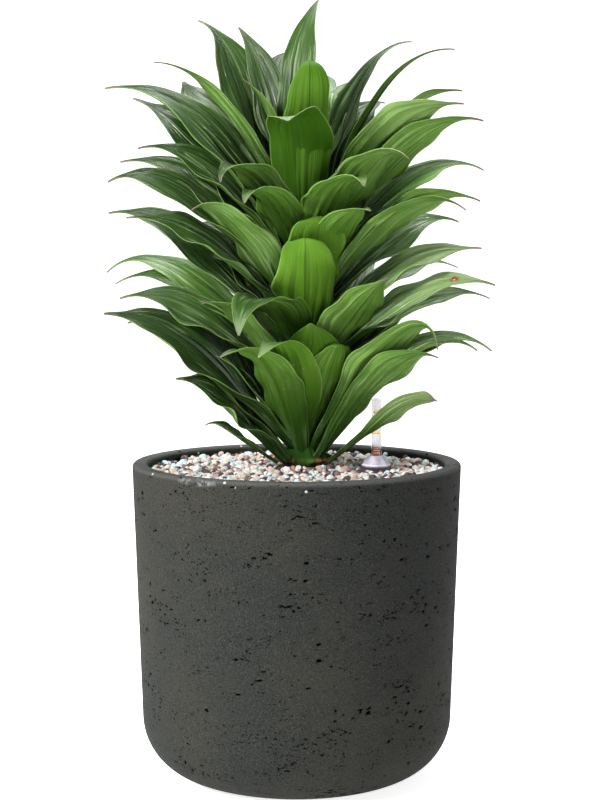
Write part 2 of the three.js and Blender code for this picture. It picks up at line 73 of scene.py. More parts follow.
def mesh_object(name, points, faces, values):
    """A smooth mesh object from points in millimetres, faces, and one named number a point."""
    mesh = bpy.data.meshes.new(name)
    mesh.from_pydata(points * 0.001, [], faces)
    mesh.polygons.foreach_set("use_smooth", np.ones(len(mesh.polygons), bool))
    for key, value in values.items():
        attribute = mesh.attributes.new(key, "FLOAT", "POINT")
        attribute.data.foreach_set("value", np.ascontiguousarray(value, np.float32))
    piece = bpy.data.objects.new(name, mesh)
    bpy.context.scene.collection.objects.link(piece)
    return piece


def ringed_object(name, rings, values=None, hollow=False):
    """Closed solids, each skinned over its own rings of points: solid, ring and side are the first
    three axes. Quads join the rings, and a fan of triangles round the middle closes each end, or
    quads join the last ring to the first where the solid is a hollow one, open right through.
    Values are given in the same solid, ring and side order."""
    solids, count, sides = rings.shape[:3]
    ring, side = np.meshgrid(np.arange(count - 1 + hollow), np.arange(sides), indexing="ij")
    here, beside = ring * sides + side, ring * sides + (side + 1) % sides
    above, over = (here + sides) % (count * sides), (beside + sides) % (count * sides)
    quads = np.stack([here, beside, over, above], -1).reshape(-1, 4)
    if hollow:
        faces = quads[None] + (np.arange(solids) * count * sides)[:, None, None]
        return mesh_object(name, rings.reshape(-1, 3), faces.reshape(-1, 4).tolist(), {})
    first, last, round_it = count * sides, count * sides + 1, np.arange(sides)
    next_to, top = (round_it + 1) % sides, (count - 1) * sides
    fans = np.concatenate([
        np.stack([round_it * 0 + first, next_to, round_it], 1),
        np.stack([round_it * 0 + last, round_it + top, next_to + top], 1),
    ])
    step = (np.arange(solids) * (count * sides + 2))[:, None, None]

    def closed(grid):
        grid = grid.reshape(solids, count, sides, -1)
        ends = grid[:, :1].mean(2), grid[:, -1:].mean(2)
        return np.concatenate([grid.reshape(solids, count * sides, -1), *ends], 1)

    faces = (quads[None] + step).reshape(-1, 4).tolist() + (fans[None] + step).reshape(-1, 3).tolist()
    numbers = {key: closed(value).ravel() for key, value in (values or {}).items()}
    return mesh_object(name, closed(rings).reshape(-1, 3), faces, numbers)


def turned(profile, sides):
    """Rings of points for a profile of [radius, height] pairs turned about +Z: ring i has its
    points at radius and height i, at equal steps of angle."""
    angle = np.arange(sides) * 2 * np.pi / sides
    radius = profile[:, 0][:, None]
    height = np.repeat(profile[:, 1][:, None], sides, 1)
    return np.stack([radius * np.cos(angle), radius * np.sin(angle), height], -1)


def arc(radius, height, size, start, end, steps):
    """Points of an arc in a profile, from one angle to another in degrees."""
    angle = np.radians(np.linspace(start, end, steps + 1))
    return np.stack([radius + size * np.cos(angle), height + size * np.sin(angle)], 1)


def line(start, end, steps):
    """Points of a straight run in a profile, without its last point."""
    share = np.linspace(0, 1, steps + 1)[:-1, None]
    return np.array(start) * (1 - share) + np.array(end) * share


class Look:
    """A node material whose nodes are added one by one, each with its inputs set or linked. Places,
    distances and bump depths are in metres."""

    def __init__(self, name):
        self.material = bpy.data.materials.new(name)
        self.material.use_nodes = True
        self.tree = self.material.node_tree
        self.shader = self.tree.nodes["Principled BSDF"]

    def add(self, kind, inputs, **settings):
        node = self.tree.nodes.new(kind)
        for key, value in settings.items():
            setattr(node, key, value)
        for key, value in inputs.items():
            self.join(node.inputs[key], value)
        return node

    def join(self, socket, value):
        if isinstance(value, bpy.types.NodeSocket):
            self.tree.links.new(value, socket)
        elif isinstance(value, (tuple, list)) and len(value) == 3 and socket.type == "RGBA":
            socket.default_value = (*value, 1)
        else:
            socket.default_value = value

    def value(self, name):
        """The number of this name that the piece carries at each of its points."""
        return self.add("ShaderNodeAttribute", {}, attribute_name=name).outputs["Fac"]

    def place(self):
        return self.add("ShaderNodeTexCoord", {}).outputs["Object"]

    def axes(self):
        """The place's x, y and z, one by one."""
        return self.add("ShaderNodeSeparateXYZ", {0: self.place()}).outputs

    def vector(self, x, y, z):
        return self.add("ShaderNodeCombineXYZ", {0: x, 1: y, 2: z}).outputs[0]

    def stretched(self, vector, scale):
        return self.add("ShaderNodeMapping", {"Vector": vector, "Scale": scale}).outputs[0]

    def away(self, point, scale=(1.0, 1.0, 1.0)):
        """The distance from a point, after each axis is stretched by its scale."""
        apart = self.add("ShaderNodeVectorMath", {0: self.place(), 1: point}, operation="SUBTRACT")
        apart = self.stretched(apart.outputs[0], scale)
        return self.add("ShaderNodeVectorMath", {0: apart}, operation="LENGTH").outputs["Value"]

    def noise(self, vector, scale, detail=3.0, rough=0.5, bent=0.0):
        inputs = {"Vector": vector, "Scale": scale, "Detail": detail, "Roughness": rough, "Distortion": bent}
        return self.add("ShaderNodeTexNoise", inputs).outputs["Fac"]

    def cells(self, vector, scale):
        """The distance to the nearest of a scatter of points."""
        return self.add("ShaderNodeTexVoronoi", {"Vector": vector, "Scale": scale}).outputs["Distance"]

    def math(self, how, first, second=0.0):
        return self.add("ShaderNodeMath", {0: first, 1: second}, operation=how).outputs[0]

    def plus(self, first, second):
        return self.math("ADD", first, second)

    def less(self, first, second):
        return self.math("SUBTRACT", first, second)

    def off(self, value, middle):
        """How far a value is from the middle one, either way."""
        return self.math("ABSOLUTE", self.less(value, middle))

    def times(self, first, *others):
        for other in others:
            first = self.math("MULTIPLY", first, other)
        return first

    def most(self, first, *others):
        for other in others:
            first = self.math("MAXIMUM", first, other)
        return first

    def fit(self, value, low, high, to_low=0.0, to_high=1.0):
        """A smooth step, from to_low up to the low value, to to_high from the high value on."""
        inputs = {0: value, 1: low, 2: high, 3: to_low, 4: to_high}
        return self.add("ShaderNodeMapRange", inputs, interpolation_type="SMOOTHSTEP").outputs[0]

    def mix(self, share, first, second, how="MIX"):
        inputs = {0: share, 6: first, 7: second}
        return self.add("ShaderNodeMix", inputs, data_type="RGBA", blend_type=how).outputs[2]

    def steps(self, value, colours, smooth=False):
        """A ramp through the given (value, colour) pairs, in steps or smooth."""
        node = self.add("ShaderNodeValToRGB", {0: value})
        ramp = node.color_ramp
        ramp.interpolation = "EASE" if smooth else "CONSTANT"
        while len(ramp.elements) < len(colours):
            ramp.elements.new(1)
        for element, (at, colour) in zip(ramp.elements, colours):
            element.position = at
            element.color = (*colour, 1)
        return node.outputs[0]

    def bump(self, height, depth, strength=1.0, normal=None):
        inputs = {"Height": height, "Distance": depth, "Strength": strength}
        if normal is not None:
            inputs["Normal"] = normal
        return self.add("ShaderNodeBump", inputs).outputs[0]

    def finish(self, slot, node, pieces, colour, roughness, normal, body="root", **inputs):
        """Sets the shader, and gives the look to pieces that stand for a node and ride on a body."""
        inputs.update({"Base Color": colour, "Roughness": roughness, "Normal": normal})
        for key, value in inputs.items():
            self.join(self.shader.inputs[key.replace("_", " ")], value)
        for piece in pieces:
            piece.data.materials.append(self.material)
            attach(piece, body)
            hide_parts(node)


def pot_profile():
    """The pot's section from the middle of its underside round the rounded edge, up the outside,
    over the rim and down the inside to the middle of its floor."""
    inner_edge = POT_EDGE - POT_WALL
    edge_middle = POT_FOOT_RADIUS - POT_EDGE
    lip = POT_HEIGHT - RIM_ROUND
    inner_rim = POT_RIM_RADIUS - POT_WALL
    return np.vstack([
        line([0.5, 0], [edge_middle, 0], 10),
        arc(edge_middle, POT_EDGE, POT_EDGE, -90, 0, 46)[:-1],
        line([POT_FOOT_RADIUS, POT_EDGE], [POT_RIM_RADIUS, lip], 150),
        arc(POT_RIM_RADIUS - RIM_ROUND, lip, RIM_ROUND, 0, 90, 5),
        arc(inner_rim + RIM_ROUND, lip, RIM_ROUND, 90, 180, 5),
        line([inner_rim, lip], [inner_rim - INNER_LEAN, INNER_KNEE], 12)[1:],
        line([inner_rim - INNER_LEAN, INNER_KNEE], [edge_middle + inner_edge, POT_EDGE], 3),
        arc(edge_middle, POT_EDGE + POT_FLOOR - POT_WALL, inner_edge, 0, -90, 5),
        [[0.5, POT_FLOOR]],
    ])


def pit_depths(profile, sides):
    """How deep each point of the pot lies in a pit, in millimetres. Pits are level ovals whose
    floor is a bowl, scattered along short level rows; where they cross, the deeper one counts."""
    draw = np.random.default_rng(7)
    run = np.r_[0, np.cumsum(np.linalg.norm(np.diff(profile, axis=0), axis=1))]
    round_mm = 2 * np.pi * POT_RIM_RADIUS
    rows = draw.uniform([0, ROW_SPAN[0]], [round_mm, ROW_SPAN[1]], (PIT_ROWS, 2))
    of_row = draw.integers(0, len(rows), PIT_COUNT)
    spread = draw.normal(0, 1, (PIT_COUNT, 2)) * ROW_SPREAD
    middle = rows[of_row] + spread
    alone = draw.random(PIT_COUNT) < LONE_SHARE
    middle[alone] = draw.uniform([0, LONE_SPAN[0]], [round_mm, LONE_SPAN[1]], (alone.sum(), 2))
    least, most = PIT_HALF_WIDTHS
    half_wide = np.minimum(draw.gamma(1.3, 0.4, PIT_COUNT) + least, most)
    half_high = half_wide * draw.uniform(0.2, 0.5, PIT_COUNT) + 0.3
    deep = np.minimum(PIT_DEEPEST, half_wide * 0.7)
    lean = draw.normal(0, 0.25, PIT_COUNT)
    column = np.round(middle[:, 0] / round_mm * sides).astype(int)
    row = np.searchsorted(run, middle[:, 1])
    depth = np.zeros((len(profile), sides))
    for down in range(-PIT_RINGS, PIT_RINGS + 1):
        for aside in range(-PIT_COLUMNS, PIT_COLUMNS + 1):
            i = np.clip(row + down, 0, len(run) - 1)
            x = (column + aside) * round_mm / sides - middle[:, 0]
            y = run[i] - middle[:, 1] - lean * x
            inside = np.clip(1 - (x / half_wide) ** 2 - (y / half_high) ** 2, 0, 1)
            np.maximum.at(depth, (i, (column + aside) % sides), deep * np.sqrt(inside))
    return depth


profile = pot_profile()
rings = turned(profile, POT_SIDES)
depth = pit_depths(profile, POT_SIDES)

# The pits are pressed in at right angles to the skin.
slope = np.gradient(profile, axis=0)
outward = np.stack([slope[:, 1], -slope[:, 0]], 1) / np.linalg.norm(slope, axis=1)[:, None]
level = rings[..., :2] / np.linalg.norm(rings[..., :2], axis=-1, keepdims=True)
rings[..., :2] -= level * (depth * outward[:, :1])[..., None]
rings[..., 2] -= depth * outward[:, 1:]
pot = ringed_object("pot_body", rings[None], {"pit": depth})

look = Look("cast_concrete")
place = look.place()
to_right, _, height = look.axes()
cloud = look.noise(place, 9.0, 4.0, 0.6)
speck = look.noise(place, 900.0, 2.0, 0.7)
grit = look.noise(place, 1300.0, 1.0)
skin = look.mix(look.fit(cloud, 0.35, 0.68), *CEMENT)
skin = look.mix(look.fit(speck, 0.3, 0.75, 0, 0.6), skin, FINE_SPECKS)
skin = look.mix(look.fit(grit, 0.6, 0.74, 0, 0.5), skin, PALE_GRIT)
skin = look.mix(look.fit(grit, 0.26, 0.42, 0.6, 0), skin, DARK_GRIT)


def slits(scale, flat, crowd, thin, dense, few, many):
    """A mask of ragged holes, where a flattened noise rises over a bar that is lower in the
    crowded parts of a slow noise."""
    bar = look.fit(look.noise(look.stretched(place, (1, 1, 2)), crowd, 2.0), thin, dense, few, many)
    hole = look.noise(look.stretched(place, (1, 1, flat)), scale, 3.0, 0.6, 0.3)
    return look.fit(look.math("SUBTRACT", hole, bar), 0.0, 0.025)


wide_slits = slits(210.0, 2.2, 30.0, 0.4, 0.7, 0.75, 0.585)
fine_slits = slits(470.0, 1.6, 60.0, 0.3, 0.7, 0.73, 0.605)
pit = look.most(wide_slits, fine_slits, look.fit(look.value("pit"), 0.5, 0.8))
# Painted shade: the pot's right side is darkened towards black.
skin = look.mix(look.fit(to_right, -0.12, 0.12, 0.0, 0.45), skin, SHADED_SIDE)
# Painted highlight: the rim's top is painted lighter, where it faces up to the light.
skin = look.mix(look.fit(height, 0.2165, 0.2195, 0.0, 0.5), skin, PAINTED_RIM_LIGHT)
# Painted shade: the pits, both the dented ones and the ragged holes of the masks, are painted near black.
skin = look.mix(pit, skin, PIT_SHADE)

# Wear: faint scuffs all over, one broad broken rub, and pale chips along the rim's edge.
scuff = look.times(look.fit(look.noise(place, 30.0, 6.0, 0.7), 0.68, 0.8), 0.3)
broken = look.fit(look.noise(place, 240.0, 5.0, 0.7), 0.46, 0.6)
rub = look.times(look.fit(look.away(RUB_PLACE, (1.0, 1.0, 6.0)), 0.006, 0.02, 1.0, 0.0), broken, 0.7)
on_edge = look.fit(height, 0.213, 0.215)
chip = look.times(look.fit(look.cells(place, 75.0), 0.05, 0.09, 1.0, 0.0), on_edge)
skin = look.mix(scuff, skin, SCUFFED)
skin = look.mix(rub, skin, RUBBED)
skin = look.mix(chip, skin, CHIPPED)
grain = look.bump(look.plus(speck, look.noise(place, 350.0, 3.0, 0.6)), 0.0007, 1.0)
relief = look.bump(look.times(pit, -1.0), 0.0012, 1.0, grain)
gloss = look.times(look.less(1.0, pit), 0.12)
look.finish("pot", "pot", [pot], skin, 0.85, relief, Specular_IOR_Level=gloss)

# ---- Granules ----
# Dry mixed mineral granules, 3 to 8 mm across: cream and pale blue pumice, dark lava and red-brown
# clay. Two layers of loose stones lie over a bed that fills the pot.

FILL_TOP = 213
FILL_RADIUS = 102.5
STONE_PITCH, STONE_JITTER = 4.4, 0.32  # the jitter is a share of the pitch
STONE_HALF_WIDTHS, STONE_SHARES = [1.7, 2.3, 2.9, 3.6], [0.27, 0.38, 0.28, 0.07]
STONE_LUMPS = 0.08
LATTICE_ROW = 0.866  # the distance between rows, as a share of the pitch
LAYER_UNEVEN, LAYER_ROLL, ROLL_LENGTHS = 0.7, 0.7, (17, 13)
TOP_LAYER, UNDER_LAYER = FILL_TOP - 0.6, FILL_TOP - 3.4
PLANT_X, PLANT_Y = 5, 4
FOOT_HALF_DEPTH, FOOT_STRETCH = 14.5, 1.6  # the oval round the plant, and its width over its depth
FOOT_CLEAR = 0.9  # the share of the oval that is bare
GAUGE_X, GAUGE_Y, GAUGE_CLEAR = 56, 2, 11.6
FOOT_HEAP, FOOT_HEAP_REACH = 3.2, 0.3  # stones heap up round the plant; the reach is a share of the oval
WALL_HEAP, WALL_HEAP_REACH = 1.5, 8  # and a little less against the pot's wall
# The tone at which each colour starts: creams, pale blues, dark lava, clays, and a rare orange.
STONE_COLOURS = [
    (0.0, (0.53, 0.47, 0.41)), (0.18, (0.65, 0.6, 0.55)), (0.36, (0.42, 0.34, 0.29)),
    (0.46, (0.48, 0.63, 0.69)), (0.62, (0.68, 0.78, 0.81)), (0.7, (0.07, 0.042, 0.052)),
    (0.86, (0.2, 0.12, 0.12)), (0.95, (0.4, 0.21, 0.19)), (0.997, (0.8, 0.35, 0.08)),
]
STONE_MOTTLE = (0.5, 0.42, 0.4)


def ball_points():
    """A ball of 26 points and 24 quads: a cube whose faces are split in four, with every point
    pushed out to radius 1."""
    steps = np.array([-1, 0, 1])
    grid = np.stack(np.meshgrid(steps, steps, steps, indexing="ij"), -1).reshape(-1, 3)
    outer = np.abs(grid).max(1) == 1
    number = np.cumsum(outer) - 1
    square = ((0, 0), (1, 0), (1, 1), (0, 1))
    quads = []
    for axis in range(3):
        one, two = np.roll(np.eye(3, dtype=int), axis, 1)[1:]
        for face in (-1, 1):
            corner = face * np.roll(np.eye(3, dtype=int), axis, 1)[0]
            for i in (-1, 0):
                for j in (-1, 0):
                    loop = [corner + (i + di) * one + (j + dj) * two for di, dj in square]
                    loop = [number[int(np.dot(point + 1, [9, 3, 1]))] for point in loop]
                    quads.append(loop if face > 0 else loop[::-1])
    points = grid[outer] / np.linalg.norm(grid[outer], axis=1)[:, None]
    return points, np.array(quads)


def stones(name, seed, height, least_tone):
    """Stones laid over the fill: a jittered triangular lattice, each stone a lumpy ball squashed
    along its own axes and turned at random, with a tone of its own. Their height rolls by a product
    of sines, and rises by a bell curve round the plant's foot and along the pot's wall."""
    draw = np.random.default_rng(seed)
    ball, quads = ball_points()
    count = int(2 * FILL_RADIUS / STONE_PITCH) + 2
    column, row = np.meshgrid(np.arange(-count, count), np.arange(-count, count))
    shifted = column + 0.5 * (row % 2)
    spot = np.stack([shifted.ravel() * STONE_PITCH, row.ravel() * STONE_PITCH * LATTICE_ROW], 1)
    spot = spot + draw.uniform(-STONE_JITTER, STONE_JITTER, spot.shape) * STONE_PITCH
    from_middle = np.hypot(*spot.T)
    from_plant = np.hypot((spot[:, 0] - PLANT_X) / FOOT_STRETCH, spot[:, 1] - PLANT_Y) / FOOT_HALF_DEPTH
    from_gauge = np.hypot(spot[:, 0] - GAUGE_X, spot[:, 1] - GAUGE_Y)
    clear = (from_middle < FILL_RADIUS - 1) & (from_plant > FOOT_CLEAR) & (from_gauge > GAUGE_CLEAR)
    spot, from_middle, from_plant = spot[clear], from_middle[clear], from_plant[clear]
    n = len(spot)
    size = draw.choice(STONE_HALF_WIDTHS, n, p=STONE_SHARES)[:, None]
    size = size * draw.uniform(0.7, 1.2, (n, 3))
    lumps = 1 + draw.normal(0, STONE_LUMPS, (n, len(ball)))
    shape = ball[None] * lumps[..., None] * size[:, None, :]
    turn = np.linalg.qr(draw.normal(size=(n, 3, 3)))[0]
    turn *= np.sign(np.linalg.det(turn))[:, None, None]
    shape = np.einsum("nij,nkj->nki", turn, shape)
    roll_x, roll_y = spot[:, 0] / ROLL_LENGTHS[0] + 1, spot[:, 1] / ROLL_LENGTHS[1]
    lift = height + draw.normal(0, LAYER_UNEVEN, n) + LAYER_ROLL * np.sin(roll_x) * np.cos(roll_y)
    foot_heap = FOOT_HEAP * np.exp(-(((from_plant - 1) / FOOT_HEAP_REACH) ** 2))
    wall_heap = WALL_HEAP * np.exp(-(((FILL_RADIUS - from_middle) / WALL_HEAP_REACH) ** 2))
    lift += foot_heap + wall_heap
    points = shape + np.column_stack([spot, lift])[:, None, :]
    faces = quads[None] + (np.arange(n) * len(ball))[:, None, None]
    tones = np.repeat(draw.uniform(least_tone, 1, n), len(ball))
    heap = mesh_object(name, points.reshape(-1, 3), faces.reshape(-1, 4).tolist(), {"tone": tones})
    heap.data.polygons.foreach_set("use_smooth", np.zeros(len(heap.data.polygons), bool))
    return heap


# The under layer holds only the dark kinds, as painted shade, so the gaps between the upper stones
# look deep.
grains = [stones("granules_top", 21, TOP_LAYER, 0), stones("granules_under", 22, UNDER_LAYER, 0.7)]

look = Look("mixed_granules")
place = look.place()
stone_colour = look.steps(look.value("tone"), STONE_COLOURS)
mottle = look.fit(look.noise(place, 420.0, 4.0, 0.65), 0.4, 0.8, 0.0, 0.4)
stone_colour = look.mix(mottle, stone_colour, STONE_MOTTLE, "MULTIPLY")
rough = look.bump(look.noise(place, 700.0, 4.0, 0.6), 0.0006, 0.8)
look.finish("granules", "granules", grains, stone_colour, 0.85, rough)

# The bed under the stones: the same granules where they lie packed, as one lumpy fill that keeps
# just inside the pot. Each grain runs from pale in its middle to near black at its edges: the
# granules' own colours, with painted shade in the gaps between them.

BED_TOP = 208.5
BED_RINGS = 70
BED_SIDES = 260
BED_WALL = [[60, 15], [95, 40], [98, 60], [FILL_RADIUS, BED_TOP - 6]]
BED_GRAINS = 1900
GRAIN_BULGE, GRAIN_DIP, GRAIN_CURVE = 2.2, -1.5, 0.11
BED_GRAIN_AND_GAP_SHADES = [(0, (0.62, 0.47, 0.4)), (0.35, (0.2, 0.12, 0.1)), (0.6, (0.04, 0.025, 0.025))]


def bed_rings():
    """Rings from the foot of the fill up the pot's wall and in over its top. The top rises and
    falls with the bulges of a scatter of grains: each a parabola of the distance to the nearest."""
    draw = np.random.default_rng(4)
    flat = np.stack([np.linspace(FILL_RADIUS, 0.5, BED_RINGS), np.full(BED_RINGS, BED_TOP)], 1)
    rings = turned(np.vstack([BED_WALL, flat]), BED_SIDES)
    grain = draw.uniform(-FILL_RADIUS, FILL_RADIUS, (BED_GRAINS, 2))
    top = rings[len(BED_WALL):].reshape(-1, 3)
    gap = np.full(len(top), 9.0)
    for some in np.array_split(grain, 20):
        apart = np.hypot(top[:, None, 0] - some[None, :, 0], top[:, None, 1] - some[None, :, 1])
        gap = np.minimum(gap, apart.min(1))
    bulge = (GRAIN_BULGE - GRAIN_CURVE * gap**2).clip(GRAIN_DIP, GRAIN_BULGE)
    rings[len(BED_WALL):, :, 2] += bulge.reshape(BED_RINGS, BED_SIDES)
    return rings


bed = ringed_object("granule_bed", bed_rings()[None])
look = Look("granule_bed")
place = look.place()
shade = look.steps(look.cells(place, 190.0), BED_GRAIN_AND_GAP_SHADES, True)
look.finish("granules", "granules", [bed], shade, 0.9, look.bump(look.noise(place, 500.0), 0.0008))

# ---- Root ball ----
# The matted roots and old bark at the plant's foot. It stands in the granules, and its brown top
# shows between the lowest leaves.

ROOT_TOP, ROOT_FOOT = 213, 115
ROOT_RADIUS, ROOT_FOOT_RADIUS = 25, 36
ROOT_SIDES = 120
ROOT_RIPPLES = (5, 9, 14, 22, 31)  # how often each set of strands comes round the ball
ROOT_BUMP, ROOT_STRAND = 0.32, 0.006  # up, and as a share of the radius
ROOT_COLOURS = [(0.3, (0.02, 0.009, 0.006)), (0.5, (0.13, 0.055, 0.03)), (0.7, (0.3, 0.15, 0.085))]


def root_rings():
    """Rings of a cone frustum that narrows upwards and domes over its top, with the bumps and
    strands of a sum of sines of angle and height."""
    draw = np.random.default_rng(12)
    foot = np.array([[1, ROOT_FOOT + 0.2]])
    side = line([ROOT_FOOT_RADIUS, ROOT_FOOT], [ROOT_RADIUS + 2, ROOT_TOP - 4], 16)
    dome = arc(ROOT_RADIUS - 2, ROOT_TOP - 4, 4, 20, 90, 4)
    flat = line([ROOT_RADIUS - 3, ROOT_TOP + 0.3], [8, ROOT_TOP + 3.0], 12)
    profile = np.vstack([foot, side, dome, flat, [[8, ROOT_TOP + 3.0], [1, ROOT_TOP + 3.2]]])
    rings = turned(profile, ROOT_SIDES)
    angle = np.arange(ROOT_SIDES) * 2 * np.pi / ROOT_SIDES
    row = np.arange(len(profile))[:, None]
    bumps = sum(np.sin(often * angle[None] + draw.uniform(0, 6.28) + row * draw.uniform(0.2, 1.4))
                for often in ROOT_RIPPLES)
    inner = (profile[:, 0] > 7)[:, None]
    on_top = row > len(foot) + len(side)
    rings[..., 2] += ROOT_BUMP * bumps * inner * on_top
    rings[..., :2] *= (1 - ROOT_STRAND * bumps * inner)[..., None]
    return rings + np.array([PLANT_X, PLANT_Y, 0])


roots = ringed_object("root_mat", root_rings()[None])
look = Look("root_fibres")
strands = look.noise(look.stretched(look.place(), (1, 1, 0.35)), 320.0, 5.0, 0.7, 1.5)
bark = look.steps(strands, ROOT_COLOURS, True)
look.finish("root_ball", "root_ball", [roots], bark, 0.9, look.bump(strands, 0.0015))

# ---- Leaves ----
# One plant: leaves set in a close spiral up a short cane. Each is a folded, pleated blade with
# pale margins and a thin brown whip at its tip, glossy and dark above, lighter and duller below.

LEAF_FOOT_RADIUS = 4
COLLAR_TOP, COLLAR_FOOT = 250, 217.4  # the lowest leaves stand on a collar of old leaf bases
COLLAR_SPREAD, COLLAR_STEEP = 40, 60  # a low leaf starts farther out, the more the flatter
FOOT_HANDLE, TIP_HANDLE = 0.42, 0.22  # how far a leaf keeps its slopes, as shares of its span
CURL_START, CURL_ACROSS, CURL_UP = 0.86, 3, 2
TWIST_LENGTH = 0.6  # the share of its length over which a blade takes up its twist
BLADE_THICKNESS, MARGIN_THINNING = 0.75, 0.55
BLADE_STATIONS, TIP_CROWDING = 61, 1.15
BLADE_SIDES = 33
WIDEST = 0.68
WIDTH_PLACES = np.array([0, 0.14, 0.32, 0.52, WIDEST, 0.79, 0.87, 0.93, 1])
WIDTHS = np.array([0.34, 0.42, 0.64, 0.94, 1, 0.88, 0.75, 0.5, 0.03])
SIDE_NARROWING = np.array([0, 0, 0, 0, 0, 0, 0.27, 0.36, 0])  # for leaves that point to a side
FOLD_PLACES, FOLD_ANGLES = [0, 0.15, 0.5, 0.75, 1], [85, 60, 28, 17, 30]
WAVE, RIPPLE, BUCKLE = 0.12, 0.11, 0.9
PLEATS = ((0.8, 2.5, 4), (0.7, 4, 6.5), (0.5, 6.5, 9))  # height, fewest and most half-waves a side
GROOVE_DEPTH, GROOVE_WIDTH = 0.5, 0.07
RELIEF_FROM = 12  # half the width from which a blade has its full relief
# One row a leaf: the way it points round the stem in degrees from +X, the height of its foot, how
# far its tip reaches from the stem, the height of its tip, the slopes at its foot and at its tip,
# how far its tip veers round, its width, the share of its length at which it is widest, the twist
# of its blade, and its tone from 0, dark, to 1, light. The tone is partly the leaf's own green and
# partly painted light and shade: leaves that the light reaches less are set darker, lit ones lighter.
CROWN_LEAVES = [
    (60, 386, 22, 542, 111, 37, 0, 29, 0.56, 0, 0.38),
    (150, 372, 87, 532, 60, 24, 0, 36, 0.62, -15, 0.4),
    (130, 380, 71, 527, 76, 43, 0, 29, 0.58, -15, 0.3),
    (103, 384, 66, 511, 88, 40, -30, 36, 0.62, 0, 0.2),
    (200, 392, 45, 483, 74, 20, 0, 15, 0.6, 0, 0.6),
    (276, 362, 22, 496, 82, 180, 0, 33, 0.6, 0, 0.5),
    (263, 340, 66, 454, 88, -25, 0, 43, 0.76, 8, 0.08),
    (62, 375, 92, 494, 86, 20, 0, 32, 0.6, 0, 0.6),
    (42, 352, 107, 519, 80, 2, 0, 26, 0.32, 10, 0.3),
    (24, 352, 117, 512, 76, 1, 0, 20, 0.46, -25, 0.45),
    (200, 387, 107, 492, 56, -11, 0, 22, 0.48, 0, 0.55),
    (150, 350, 102, 488, 77, 11, -50, 38, 0.66, -20, 0.15),
]
LEFT_LEAVES = [
    (180, 324, 138, 480, 75, -8, 0, 38, 0.62, -28, 0.25),
    (168, 320, 123, 475, 72, 20, 0, 44, 0.64, -32, 0.17),
    (186, 352, 115, 438, 54, -14, 0, 30, 0.6, -30, 0.4),
    (172, 342, 130, 429, 52, -16, 0, 32, 0.6, -28, 0.35),
    (190, 330, 137, 417, 48, -18, 0, 36, 0.6, -32, 0.35),
    (213, 322, 92, 395, 47, -29, 0, 40, 0.55, 10, 0.5),
    (176, 290, 137, 394, 52, -10, 0, 42, 0.6, -28, 0.35),
    (194, 312, 124, 388, 50, -16, 0, 32, 0.6, -28, 0.4),
    (165, 280, 146, 352, 42, -44, 0, 26, 0.55, -28, 0.75),
    (166, 274, 138, 343, 48, -36, 0, 22, 0.55, -25, 0.75),
    (185, 260, 128, 334, 48, -22, 0, 36, 0.6, -30, 0.45),
    (194, 228, 140, 323, 48, -8, 0, 52, 0.6, -32, 0.2),
    (181, 219, 123, 316, 50, -24, 0, 38, 0.6, -30, 0.25),
    (152, 224, 108, 297, 56, -88, 0, 36, 0.58, 10, 0.35),
    (204, 219, 94, 279, 42, -14, 0, 43, 0.56, -32, 0.2),
    (200, 219, 73, 249, 34, -14, 0, 12, 0.6, -20, 0.35),
    (155, 346, 96, 436, 56, -5, 0, 40, 0.58, -22, 0.2),
    (150, 300, 100, 386, 52, -10, 0, 40, 0.58, -22, 0.2),
    (160, 228, 104, 335, 54, -10, 0, 42, 0.55, -25, 0.2),
]
RIGHT_LEAVES = [
    (18, 382, 118, 481, 58, -5, 0, 26, 0.6, -25, 0.75),
    (340, 380, 114, 464, 54, -18, 0, 40, 0.58, -25, 0.95),
    (350, 368, 124, 456, 44, -18, 0, 36, 0.58, -28, 0.8),
    (3, 340, 126, 424, 52, -28, 0, 35, 0.6, 25, 0.9),
    (348, 328, 123, 401, 50, -28, 0, 34, 0.6, -25, 0.9),
    (334, 320, 120, 396, 54, -34, 0, 28, 0.6, -15, 0.5),
    (20, 312, 118, 390, 54, -12, 0, 40, 0.6, 28, 0.8),
    (355, 292, 123, 367, 52, -16, 0, 36, 0.6, 28, 1.0),
    (30, 288, 129, 354, 52, -30, 0, 28, 0.6, 20, 0.8),
    (348, 272, 133, 343, 48, -26, 0, 38, 0.6, 28, 0.98),
    (14, 266, 138, 333, 48, -26, 0, 26, 0.6, 20, 0.8),
    (354, 238, 131, 298, 50, -42, 0, 34, 0.6, 20, 0.8),
    (342, 232, 124, 301, 50, -32, 0, 30, 0.6, 15, 0.55),
    (326, 224, 108, 302, 54, -80, 0, 40, 0.58, -20, 0.7),
    (328, 218, 106, 297, 52, -18, 0, 34, 0.62, -25, 0.65),
    (338, 219, 98, 264.5, 37, -22, 0, 20, 0.9, -34, 1.0),
    (26, 340, 92, 425, 56, -5, 0, 40, 0.58, 22, 0.25),
    (24, 228, 100, 335, 54, -10, 0, 42, 0.55, 22, 0.25),
]
